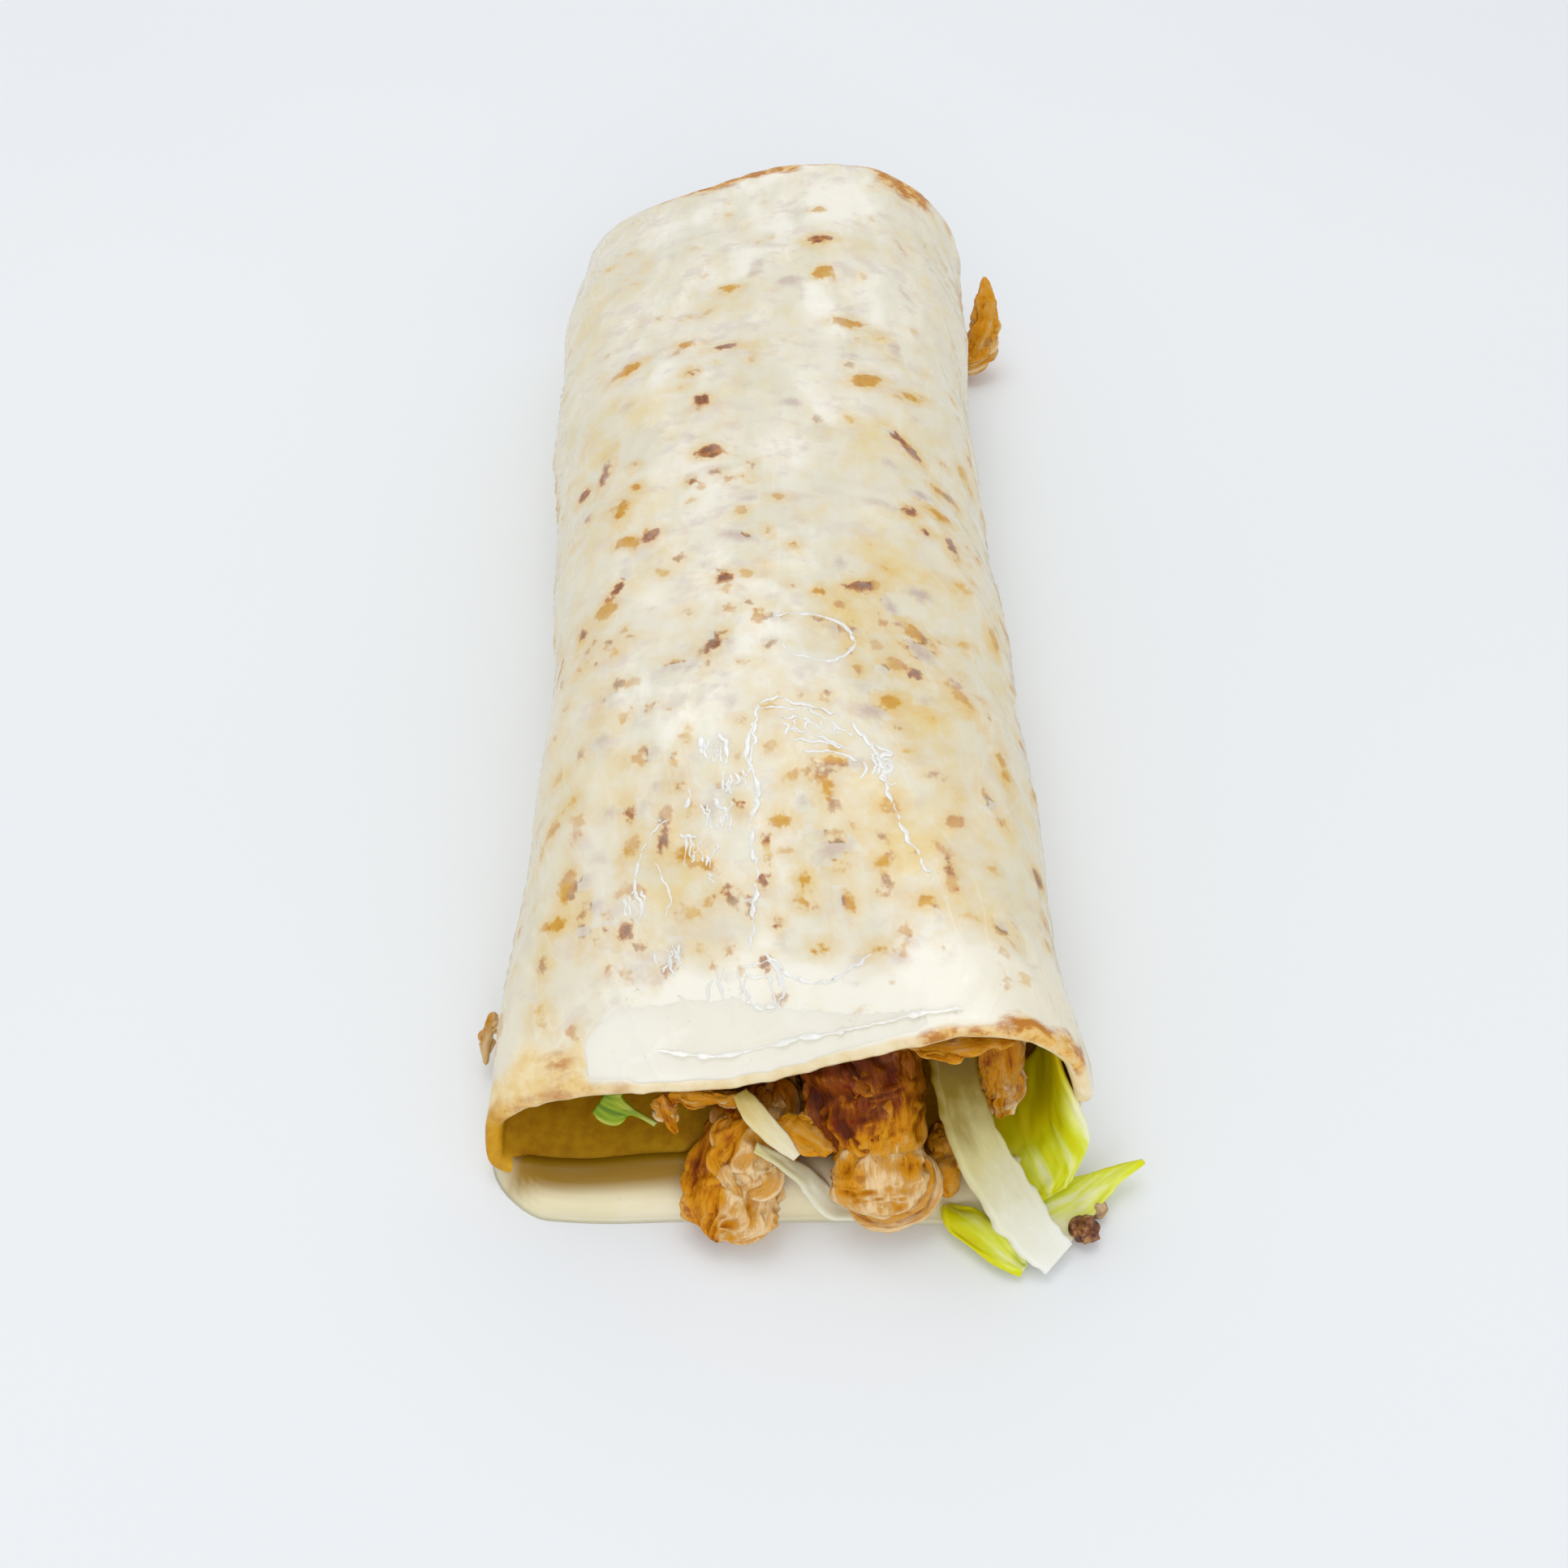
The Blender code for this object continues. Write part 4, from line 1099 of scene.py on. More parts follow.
def sauce_runs():
    """Low round ridges along curves on the sheet, a little wavy, sunk by half their height."""
    bodies = []
    angle = np.linspace(0.0, 2.0 * np.pi, 10, endpoint=False)[None, :, None]
    for number, (route, width) in enumerate([*RUNS, *ripple_runs()]):
        route = np.array(route, float)
        knots = np.linspace(0.0, 1.0, len(route))
        t = np.linspace(0.0, 1.0, 40 * len(route))
        path = through(knots, route, t)
        wobble = np.stack([cloud(path[:, 1] / 1.1, path[:, 0] / 1.1, 91 + number, 2),
                           cloud(path[:, 0] / 1.1, path[:, 1] / 1.1, 191 + number, 2)], axis=-1)
        along_lip = number == LIP_RUN
        path = path + (0.10 if along_lip else 0.36) * wobble
        arc, y = path.T
        table = read_sheet(share_at(arc, y), y)
        lift = skin_height(arc, y, mark_fields(arc, y)[0]) + (0.40 if along_lip else 0.0)
        middle = off_sheet(table, y, lift)
        normal = np.stack([table[:, 2], np.zeros_like(y), table[:, 3]], axis=-1)
        side = unit(np.cross(np.gradient(middle, axis=0), normal))
        swell = np.clip(1.1 + 1.2 * cloud(path[:, 1] / 1.2, path[:, 0] / 1.2, 291 + number, 2),
                        0.35, 1.9)
        size = (0.42 * width * swell * np.sqrt(1.0 - (2.0 * t - 1.0)**8) + 0.02)[:, None, None]
        bodies.append(tube(middle[:, None, :] + size * np.cos(angle) * side[:, None, :]
                           + 0.24 * size * np.sin(angle) * normal[:, None, :]))
    return joined(bodies)


place_piece("sauce_runs", sauce_runs(), GLINT_WHITE_SAUCE)

# %% [markdown]
# ## Torn chicken
# Cooked breast tears along its fibres, so a piece is never one smooth lump: it is a bundle
# of shreds that peel off, cross and break at different lengths. One shred is a tube along a
# smooth spine, cut lengthwise into fine fibres. A bundle sets many shreds round a spine of
# its own, each at its own depth and angle, over a darker core that fills the gaps between
# them. The grain is stored with each point, straightened along the spine, so that colour
# streaks follow the fibres as they bend; a tint is stored too, from deep brown to pale.

# %% Frames along a path
GRAIN_SHARE = 0.16


def path_frames(path):
    """Sideways and upward unit vectors along a path, its direction, and length walked."""
    ahead = unit(np.gradient(path, axis=0))
    side = unit(np.cross(ahead, (0.0, 0.0, 1.0)))
    walked = np.concatenate([[0.0], np.cumsum(np.linalg.norm(np.diff(path, axis=0), axis=1))])
    return side, np.cross(side, ahead), ahead, walked


def along_spine(spine, sizes, t):
    """The spine and the section's sizes read at the shares t along it."""
    knots = np.linspace(0.0, 1.0, len(spine))
    return through(knots, np.array(spine, float), t), through(knots, np.array(sizes, float), t)


def closing_spine(spine, sizes, margin, rows):
    """Shares along a spine, closer at its ends, with the points there and the sizes.

    The sizes fall to almost nothing at both ends, so that the body closes round.
    """
    t = 0.5 - 0.5 * np.cos(np.linspace(margin, 1.0 - margin, rows) * np.pi)
    middle, size = along_spine(spine, sizes, t)
    return t[:, None], middle, size * np.sqrt(1.0 - (2.0 * t[:, None] - 1.0)**6)


def with_ends(values):
    """Adds the first and the last value again, for a tube's two end points."""
    return np.concatenate([values, values[:1], values[-1:]])


def wound(middle, frames, across, upward, jag, tint, seed):
    """A tube from each point's offset across, above and along the spine: body, grain, tint."""
    side, up, ahead, walked = frames
    rings = (middle[:, None, :] + across[..., None] * side[:, None, :]
             + upward[..., None] * up[:, None, :] + jag[..., None] * ahead[:, None, :])
    grain = np.stack([across, upward, GRAIN_SHARE * walked[:, None] + 0.0 * across], axis=-1)
    return (tube(rings), with_ends(grain.reshape(-1, 3) + 3.7 * (seed % 17)),
            with_ends((tint + 0.0 * across).ravel()))


def wrapped(turn, along, cells, seed, octaves=1):
    """Cloud noise round a closed section, with this many cells in one round of turn."""
    seam = smoothstep(0.8, 1.0, turn)
    return (cloud(turn * cells, along, seed, octaves) * (1.0 - seam)
            + cloud((turn - 1.0) * cells, along, seed, octaves) * seam)


# %% A lump of meat
def lump(spine, sizes, seed, tints, rows=130, around=130, rough=0.14, depth=0.5):
    """A closed lump with creases: its body, grain and tint.

    radius = oval that closes at both ends x slow lumps + depth x ridges. A ridge is where
    noise passes through 0: long cells give fibres and round ones crumples. tints gives the
    tint and the share of fibres by the cosine and sine round the section and the share
    along. Creases are painted darker, as painted shade, and crests paler, as painted
    highlight.
    """
    t, middle, size = closing_spine(spine, sizes, 0.02, rows)
    frames = path_frames(middle)
    walked = frames[3][:, None]
    turn = np.linspace(0.0, 1.0, around, endpoint=False)[None, :]
    angle = 2.0 * np.pi * (turn - 0.25)
    girth = 2.0 * np.pi * size.mean()
    tint, stringy = tints(np.cos(angle), np.sin(angle), t)
    swirl = wrapped(turn, walked / 4.0, girth / 5.0, seed, 2)
    fibres = wrapped(turn + 0.03 * swirl, walked / 8.0, girth / 1.3, seed + 1, 2)
    crumples = wrapped(turn, walked / 1.9 + swirl, girth / 2.3, seed + 2, 2)
    ridges = 1.0 - 1.5 * np.abs(stringy * fibres + (1.0 - stringy) * crumples)
    slow = 1.0 + rough * wrapped(turn, walked / 3.5, girth / 4.0, seed + 3, 3)
    fade = band(0.0, 0.05, 0.95, 1.0, t)
    stand = depth * (ridges - 0.3) * fade
    across = (size[:, :1] * slow + stand) * np.cos(angle)
    upward = (size[:, 1:] * slow + stand) * np.sin(angle)
    jag = 0.5 * size[:, :1] * wrapped(turn, 0.5, girth / 3.0, seed + 4, 2) * (1.0 - fade)
    # Painted shade in the creases and painted highlight on the crests.
    tint = tint + 0.30 * (ridges - 0.45)
    return wound(middle, frames, across, upward, jag, tint, seed)


# %% One shred
def shred(spine, sizes, seed, tint=0.5, rows=54, around=40, fibre=0.55, rough=0.22):
    """A tube cut lengthwise into fibres: its body, grain and tint.

    radius = oval that closes at both ends x slow noise + round fibres, each of which breaks
    off at its own length. sizes gives half width and half height along the spine.
    """
    t, middle, size = closing_spine(spine, sizes, 0.03, rows)
    frames = path_frames(middle)
    walked = frames[3][:, None]
    angle = np.linspace(0.0, 2.0 * np.pi, around, endpoint=False)[None, :]
    round_x = 2.0 * np.cos(angle) + 5.0
    round_y = 2.0 * np.sin(angle) + 5.0
    slow = 1.0 + rough * cloud(round_x, round_y + walked / 3.0, seed, 2)
    girth = 2.0 * np.pi * size.mean()
    count = max(5, int(girth / fibre))
    lane = count * angle / (2.0 * np.pi) + 0.7 * cloud(round_x, 4.0 * t + round_y, seed + 1)
    part = lane - np.floor(lane)
    fibre_number = np.floor(lane).astype(int) % count
    dice = np.random.default_rng(seed)
    stand = dice.uniform(0.2, 1.0, count)[fibre_number]
    ends = dice.uniform(0.82, 1.0, (2, count))[:, fibre_number]
    held = band(1.0 - ends[0] - 0.03, 1.0 - ends[0] + 0.03, ends[1] - 0.03, ends[1] + 0.03, t)
    bulge = np.sqrt(np.clip(1.0 - (2.0 * part - 1.0)**2, 0.0, 1.0))
    ridge = 0.26 * fibre * (bulge * stand * held - 0.4)
    ridge = ridge + 0.14 * cloud(lane / 1.7, walked / 0.9, seed + 2, 2)
    fade = band(0.0, 0.08, 0.92, 1.0, t)
    across = (size[:, :1] * slow + ridge * fade) * np.cos(angle)
    upward = (size[:, 1:] * slow + ridge * fade) * np.sin(angle)
    jag = 0.8 * size[:, :1] * cloud(round_x * 1.5, round_y * 1.5, seed + 3) * (1.0 - fade)
    flat = np.clip(size[:, :1] / size[:, 1:] - 1.2, 0.0, 1.0)
    # Each fibre is painted paler on its crest and darker in its grooves: painted highlight and shade.
    # Flat shreds are also paler at their thin edges.
    pale = 0.3 * flat * smoothstep(0.85, 1.0, np.abs(np.cos(angle))) + 0.12 * (bulge - 0.6)
    return wound(middle, frames, across, upward, jag, tint + pale, seed)


# %% A bundle of shreds
def bundle(spine, sizes, seed, shreds, tints, core=0.94, thick=(0.10, 0.18), stray=0.06,
           weave=0.7, **lump_sizes):
    """Loose shreds on one lump of meat: a list of bodies with grain and tint.

    A shred starts and stops at its own shares of the spine. Its place in the oval section is
    an angle and a depth, and both drift by weave as it goes along. tints is a function of
    the angle's cosine and sine and of the share along, so that sides can differ in colour.
    """
    dice = np.random.default_rng(seed)
    made = [lump(spine, np.array(sizes, float) * core, seed, tints, **lump_sizes)]
    for number in range(shreds):
        turn_at = 2.0 * np.pi * (number + dice.uniform(0.0, 0.9)) / shreds
        start = dice.uniform(0.0, 0.65)
        stop = start + dice.uniform(0.25, 0.35)
        t = np.linspace(start, stop, 5)
        middle, size = along_spine(spine, sizes, t)
        size = size * (1.0 - 0.6 * (2.0 * t[:, None] - 1.0)**6)
        side, up, _, _ = path_frames(middle)
        angle = turn_at + weave * dice.uniform(-1.0, 1.0, 5).cumsum() * 0.5
        thickness = dice.uniform(*thick) * size.min(axis=1).mean()
        depth = dice.uniform(0.75, 1.0) + stray * dice.uniform(-1.0, 1.0, 5)
        path = (middle + ((size[:, 0] - thickness) * depth * np.cos(angle))[:, None] * side
                + ((size[:, 1] - thickness) * depth * np.sin(angle))[:, None] * up)
        flat = dice.uniform(1.4, 2.8)
        width = np.array([0.75, 1.0, 1.05, 1.0, 0.7])[:, None] * thickness * dice.uniform(
            0.85, 1.15, (5, 1))
        tint, _ = tints(np.cos(turn_at), np.sin(turn_at), 0.5 * (start + stop))
        made.append(shred(path, np.concatenate([width * flat, width], axis=1),
                          seed + 11 * number + 1, tint + dice.uniform(-0.12, 0.16),
                          rough=0.4))
    return made


def place_meat(name, made, node, dim=1.0):
    """Joins the shreds of one piece and places it; dim is its share of the mouth's shade."""
    bodies, grains, tints = zip(*made)
    body = joined(bodies)
    place_piece(name, body, CHICKEN_MEAT, [node],
                {"grain": np.concatenate(grains), "tint": np.concatenate(tints),
                 "cave": dim * mouth_shade_share(body[0])})


# %% Chicken finish
def chicken_finish():
    """Seasoned chicken: the tint picks deep, orange or pale, and the grain streaks it."""
    f = Finish("torn_chicken", IOR=1.38, Subsurface_Weight=0.15, Subsurface_Scale=0.001,
               Subsurface_Radius=(1.0, 0.5, 0.2), Specular_IOR_Level=0.2, Coat_Roughness=0.1)
    spot = f.place()
    grain = f.field("grain", "Vector")
    streak = f.noise(grain, 1.0, 4.0, 0.62, 0.4)
    thread = f.noise(grain, 3.4, 2.0, 0.6)
    patch = f.noise(spot, 230.0, 3.0, 0.55)
    spice = f.noise(spot, 500.0, 3.0, 0.6)
    strand = f.noise(f.stretch(grain, (1.0, 1.0, 0.5)), 8.0, 3.0, 0.6)
    tint = f.field("tint")
    lively = tint.rise(0.0, 0.4) * 0.6 + 0.4
    tone = tint + ((streak - 0.5) * 0.9 + (strand - 0.5) * 0.5) * lively + (patch - 0.5) * 0.5
    colour = f.ramp(tone, [
        (0.0, paint(92, 34, 6)), (0.2, paint(152, 76, 4)), (0.4, paint(206, 132, 2)),
        (0.58, paint(220, 152, 26)), (0.76, paint(214, 162, 86)), (0.98, paint(240, 208, 158))])
    stain = spice.rise(0.54, 0.66) * patch.rise(0.40, 0.58)
    colour = f.mix(stain * (1.0 - tint).clamp(), colour, paint(132, 30, 8))
    # Painted shade: inside the mouth the colour is multiplied by a dim brown.
    colour = f.mix(f.field("cave"), colour, (0.50, 0.36, 0.22, 1.0), "MULTIPLY")
    relief = f.bump(thread * 0.5 + strand * 0.5 + spice * 0.3, 0.3, 0.8)
    return f.finish(Base_Color=colour, Roughness=0.32 + thread * 0.2,
                    Coat_Weight=patch.rise(0.55, 0.7) * 0.35, Normal=relief)


CHICKEN_MEAT = chicken_finish()

# %% [markdown]
# The two large pieces lean out of the mouth. The left one is orange and stringy on its left
# and pale and crumpled on its right, and painted browner above as shade. The middle one is a
# browned piece, dark red with spice above, painted darker still there as shade under the lip;
# its lower end is a pale folded knob. The small shreds hang under the lip, lie by the base on
# the left, and stick out of the far end on the right.

# %% The two large pieces
def left_tint(across, upward, along):
    """Orange and stringy at the left, pale and crumpled at the right, painted browner above as shade.
    """
    pale = smoothstep(0.2, -0.1, across)
    return 0.39 + 0.36 * pale - 0.22 * smoothstep(0.45, 0.1, along), 1.0 - 0.55 * pale


def centre_tint(across, upward, along):
    """Dark red-brown above, browned and in painted shade; orange along the right; pale, crumpled below.
    """
    low = smoothstep(0.5, 0.72, along)
    tint = 0.09 + 0.49 * low + 0.30 * smoothstep(-0.2, -0.8, across) * (1.0 - low)
    return tint - 0.25 * low * smoothstep(0.3, 0.9, across), 0.4 - 0.1 * low


LEFT_SPINE = [(0.6, -87.0, 11.6), (-1.2, -96.6, 10.6), (-4.4, -103.6, 6.5), (-6.6, -111.3, 3.3)]
LEFT_SIZES = [(4.2, 3.6), (5.0, 4.4), (6.5, 4.9), (7.6, 3.0)]
CENTRE_SPINE = [(12.6, -86.4, 20.6), (12.2, -92.0, 18.2), (14.2, -99.8, 11.2),
                (15.0, -106.4, 6.0)]
CENTRE_SIZES = [(7.8, 5.6), (8.8, 6.0), (6.9, 5.8), (6.0, 4.6)]


def knob_tint(across, upward, along):
    """Pale, with a golden hollow at the upper right and a brown patch at the left."""
    hollow = bell((across + 0.5) / 0.3, (along - 0.35) / 0.14)
    brown = bell((across - 0.75) / 0.3, (along - 0.5) / 0.3)
    return 0.83 - 0.36 * hollow - 0.40 * brown, 0.3


def folded_knob():
    """The round lower end and the two thin rims that curl round its right and lower side."""
    made = [lump([(15.0, -100.2, 11.4), (15.2, -104.2, 8.4), (15.6, -107.9, 4.8)],
                 [(5.2, 4.6), (6.3, 5.3), (5.0, 4.0)], 141, knob_tint, rough=0.16, depth=0.7)]
    for share, rise, tint in ((1.0, 0.2, 0.84), (0.86, 1.6, 0.66)):
        angle = np.linspace(-2.5, 0.75, 8)
        ring = np.stack([15.6 + 6.6 * share * np.cos(angle),
                         -105.2 + 4.4 * share * np.sin(angle),
                         7.6 + rise + 3.6 * share * np.sin(angle)], axis=-1)
        width = np.array([0.5, 0.8, 0.9, 0.8, 0.9, 0.8, 0.7, 0.4])[:, None] * (1.0, 0.7)
        made.append(shred(ring, width, 150 + int(10 * rise), tint, rows=80, around=24))
    return made


place_meat("chicken_chunk_left_torn",
           bundle(LEFT_SPINE, LEFT_SIZES, 101, 26, left_tint, core=0.86, thick=(0.12, 0.22),
                  stray=0.12, rows=170, around=170, rough=0.24, depth=1.0),
           "chicken_chunk_left")
place_meat("chicken_chunk_centre_torn",
           bundle(CENTRE_SPINE, CENTRE_SIZES, 102, 14, centre_tint, core=0.9, stray=0.1,
                  rows=170, around=170, rough=0.16, depth=0.4)
           + folded_knob(), "chicken_chunk_centre")

# %% The small shreds
SMALL_SHREDS = (
    ("chicken_flap", 0.46, 3,
     [(1.0, -100.0, 14.6), (3.0, -101.0, 14.4), (5.6, -102.4, 13.8), (8.2, -103.6, 12.8)],
     [(1.6, 0.5), (2.5, 0.6), (2.8, 0.6), (1.6, 0.4)]),
    ("chicken_shred_lip", 0.42, 6,
     [(-13.8, -96.9, 15.2), (-10.6, -97.0, 15.3), (-6.2, -97.3, 15.4), (-2.6, -97.5, 15.9)],
     [(0.6, 1.2), (0.9, 1.7), (0.8, 1.5), (0.5, 0.8)]),
    ("chicken_shred_tooth", 0.42, 5,
     [(-14.4, -97.0, 16.0), (-14.0, -97.8, 14.0), (-13.4, -98.6, 11.8), (-12.6, -99.4, 9.6)],
     [(2.2, 0.8), (1.7, 0.8), (1.0, 0.6), (0.5, 0.4)]),
    ("chicken_shred_top", 0.44, 14,
     [(16.6, -92.5, 27.2), (20.5, -95.6, 27.4), (25.5, -96.2, 28.8), (31.5, -95.6, 28.4)],
     [(1.6, 0.8), (2.2, 0.9), (2.2, 0.9), (1.2, 0.7)]),
    ("chicken_shred_right", 0.5, 20,
     [(29.4, -87.5, 24.8), (30.0, -91.5, 22.2), (30.6, -95.4, 16.8), (31.0, -97.6, 11.4)],
     [(2.4, 1.5), (3.2, 1.8), (3.2, 1.7), (1.6, 1.2)]),
    ("chicken_wedge_low", 0.44, 12,
     [(23.4, -95.6, 6.8), (23.6, -100.4, 5.4), (24.2, -105.2, 3.4)],
     [(2.2, 2.6), (2.9, 3.2), (2.4, 2.5)]),
    ("chicken_shred_far", 0.46, 14,
     [(33.2, 96.0, 5.2), (37.8, 90.2, 3.6), (41.2, 88.8, 3.8), (43.4, 91.6, 8.2),
      (43.8, 95.0, 13.2), (43.2, 98.4, 18.4)],
     [(1.6, 1.6), (2.0, 2.0), (2.8, 2.8), (2.9, 2.4), (2.8, 2.0), (2.2, 1.2)]),
    ("chicken_shred_side", 0.8, 4,
     [(-40.0, -78.8, 7.2), (-40.9, -81.6, 5.4), (-41.0, -85.2, 3.0)],
     [(0.7, 1.0), (0.9, 1.3), (0.6, 0.8)]),
)
for number, (node, tint, shreds, spine, sizes) in enumerate(SMALL_SHREDS):
    made = bundle(spine, sizes, 500 + 40 * number, shreds, lambda across, upward, along: (
        tint + 0.1 * along, 0.7), core=0.8, thick=(0.26, 0.42), stray=0.24, rows=80, around=90,
        rough=0.34, depth=0.4)
    place_meat(f"{node}_torn", made, node, 0.35)

# %% [markdown]
# ## Lettuce
# Iceberg lettuce is thin, crisp and half see-through: yellow-green at the rim, paler along
# its ribs, and almost white in the thick midrib. The leaf is a parabola across three lines
# that run from the filling out over the lip; the strips are flat bands along a spine, with
# rounded edges. Veins are stored by place across the strip, so they run along it.

# %% Lettuce finish
def lettuce_finish(name, dark, green, pale, white, contrast=1.0, cave=(0.8, 0.7, 0.2)):
    """Leaf or rib: colour by the stored rib strength, with veins along the strip, and painted shade in
    the mouth.
    """
    f = Finish(name, IOR=1.36, Subsurface_Weight=0.25, Subsurface_Scale=0.0012,
               Subsurface_Radius=(0.8, 1.0, 0.3), Specular_IOR_Level=0.35, Coat_Weight=0.15,
               Coat_Roughness=0.1)
    vein = f.field("vein")
    grain = f.field("grain", "Vector")
    line = f.noise(grain, 1.0, 3.0, 0.6, 0.3)
    cells = f.noise(f.place(), 1100.0, 2.0, 0.5)
    leaf = f.ramp((line - 0.5) * contrast + vein * 0.35 + 0.4, [
        (0.30, paint(*dark)), (0.45, paint(*green)), (0.62, paint(*pale)), (0.8, paint(*white))])
    leaf = f.mix(cells.rise(0.55, 0.75) * vein.rise(0.0, 1.0) * 0.25, leaf, paint(*white))
    # Painted shade: inside the mouth the colour is multiplied by the given dim yellow.
    leaf = f.mix(f.field("cave"), leaf, (*cave, 1.0), "MULTIPLY")
    relief = f.bump(line * (0.4 + 0.2 * contrast) + cells * 0.5, 0.12, 0.5)
    return f.finish(Base_Color=leaf, Roughness=0.26 + cells * 0.15, Normal=relief)


# The last values given, like the default, multiply the colour inside the mouth: painted shade.
LEAF = lettuce_finish("lettuce_leaf", (218, 213, 6), (217, 222, 20), (230, 236, 108),
                      (240, 240, 196), 1.0, (1.0, 0.88, 0.5))
DEEP_LEAF = lettuce_finish("lettuce_leaf_deep", (100, 142, 8), (140, 176, 20), (176, 196, 70),
                           (210, 216, 150))
# The midrib's dark olive stop colours its end under the lip: painted shade.
RIB = lettuce_finish("lettuce_midrib", (136, 112, 10), (207, 197, 139), (232, 231, 210),
                     (244, 244, 238), 0.2, (0.66, 0.58, 0.14))
CREAMY = lettuce_finish("lettuce_cream_strip", (200, 176, 96), (220, 204, 150),
                        (230, 222, 190), (240, 236, 216), 0.35, (0.8, 0.7, 0.2))


# %% The leaf in the mouth
def leafy(sheet, normal, above, below, vein, grain):
    """A pillow whose faces stand above and below a sheet of points, with its fields."""
    body = pillow(sheet + above[..., None] * normal, sheet + below[..., None] * normal)
    return body, {"vein": pillow_rows(vein, vein), "grain": pillow_rows(grain, grain)}


def leaf_body():
    """The leaf and its veins: a parabola through rim, middle and hem at each step out."""
    rim = np.array([(35.4, -87.4, 25.0), (37.0, -92.4, 23.0), (38.0, -96.0, 21.4),
                    (39.8, -98.9, 19.0), (42.0, -99.7, 13.8), (42.4, -100.2, 9.4),
                    (41.4, -101.6, 5.6), (40.8, -102.4, 3.4)])
    middle = np.array([(36.4, -87.2, 11.5), (36.9, -92.2, 9.6), (37.2, -96.2, 8.4),
                       (37.8, -99.0, 7.4), (38.6, -101.2, 5.8), (39.0, -102.6, 4.4),
                       (38.6, -103.6, 3.3), (38.2, -104.6, 2.9)])
    hem = np.array([(29.6, -87.2, 5.9), (29.8, -92.0, 5.2), (30.4, -96.0, 4.8),
                    (31.2, -99.0, 4.4), (31.6, -101.6, 3.8), (32.2, -103.4, 3.2),
                    (33.4, -105.4, 2.9), (34.6, -107.2, 2.7)])
    knots = np.linspace(0.0, 1.0, len(rim))
    out = np.linspace(0.0, 1.0, 130)
    rim, middle, hem = (through(knots, line, out)[:, None, :] for line in (rim, middle, hem))
    down = np.linspace(0.0, 1.0, 90)[None, :, None]
    leaf = (rim * (1.0 - down) * (1.0 - 2.0 * down) + 4.0 * middle * down * (1.0 - down)
            + hem * down * (2.0 * down - 1.0))
    normal = unit(np.cross(np.gradient(leaf, axis=0), np.gradient(leaf, axis=1)))
    u = out[:, None]
    v = down[..., 0]
    ribs = np.clip(np.sin(2.0 * np.pi * (3.2 * v + 0.5 * u) + 0.9 * cloud(2 * u, 3 * v, 81)), 0, 1)
    ribs = ribs * smoothstep(0.25, 0.6, u)
    ripple = 0.30 * cloud(u * 5.0, v * 7.0, 82, 2) + 0.28 * ribs
    edge = np.minimum(np.minimum(u, 1 - u) * 22.0, np.minimum(v, 1 - v) * 18.0)
    half = 0.45 * quarter_round(edge / 0.7) * (1.0 + 0.5 * ribs)
    ripple = ripple * smoothstep(0.0, 2.0, edge)
    pale_rim = 0.8 * smoothstep(0.26, 0.04, v) * smoothstep(0.1, 0.5, u)
    # Ribs and the pale rim, less a share at the leaf's inner end deep in the mouth, painted darker as
    # shade.
    vein = np.clip(0.9 * ribs + pale_rim - 0.5 * smoothstep(0.5, 0.1, u), -1, 2)
    grain = np.stack([6.0 * v + 1.5 * u, 1.2 * u + 0.0 * v, 0.0 * u + 0.0 * v], axis=-1)
    return leafy(leaf, normal, ripple + half, ripple - half, vein, grain)


body, fields = leaf_body()
place_piece("lettuce_leaf_green", body, LEAF, ["lettuce_leaf"], fields)


# %% Strips of lettuce
def strip_body(spine, widths, thickness, tilts, seed, rows=110, columns=34, ruffle=0.0,
               phase=0.0, veins=5.0, rim=(0.0, 0.0), ends=(0.0, 0.0), ribbed=0.4, fine=0.9):
    """A flat band along a smooth spine, turned about it by tilts in degrees.

    Its edges wander a little, its faces are ribbed along it, and its rim is rounded.
    """
    t = np.linspace(0.0, 1.0, rows)
    middle, profile = along_spine(spine, np.stack([widths, tilts], axis=-1), t)
    width = profile[:, :1]
    tilt = np.radians(profile[:, 1:])
    side, up, _, walked = path_frames(middle)
    across = np.cos(tilt) * side + np.sin(tilt) * up
    normal = np.cos(tilt) * up - np.sin(tilt) * side
    v = np.linspace(-1.0, 1.0, columns)[None, :]
    t = t[:, None]
    wander = 0.09 * cloud(t * walked[-1] / 2.2, np.sign(v) * 3.0 + 7.0, seed, 2) * np.abs(v)
    lift = ruffle * v * np.sin(2.5 * np.pi * t + phase + 0.8 * v)
    lift = lift + 0.16 * cloud(v * 0.9 + 3.0, walked[:, None] / 4.0, seed + 1, 2)
    offset = 0.5 * width * v * (1.0 + wander)
    sheet = middle[:, None, :] + offset[..., None] * across[:, None, :]
    to_edge = np.minimum(0.5 * width * (1.0 - np.abs(v)), walked[-1] * np.minimum(t, 1.0 - t))
    turn_over = min(0.8, 0.45 * thickness + 0.3)
    half = 0.5 * thickness * quarter_round(to_edge / turn_over)
    rib = 0.5 + 0.5 * np.cos(veins * np.pi * v + 0.8 * cloud(3.0 * t, v, seed + 2))
    lift = lift * smoothstep(0.0, 0.8, to_edge)
    relief = 0.02 * thickness * rib * smoothstep(0.0, 0.6, to_edge)
    grain = np.stack([fine * offset, np.broadcast_to(0.12 * walked[:, None], offset.shape),
                      0.0 * offset + seed], axis=-1)
    vein = ribbed * rib + rim[0] + (rim[1] - rim[0]) * (0.5 + 0.5 * v)**3
    # ends shifts the colour from one end of the strip to the other; on the midrib the upper end, under
    # the lip, is painted darker as shade.
    vein = vein + ends[0] + (ends[1] - ends[0]) * t
    return leafy(sheet, normal[:, None, :], lift + half + relief, lift - half, vein, grain)


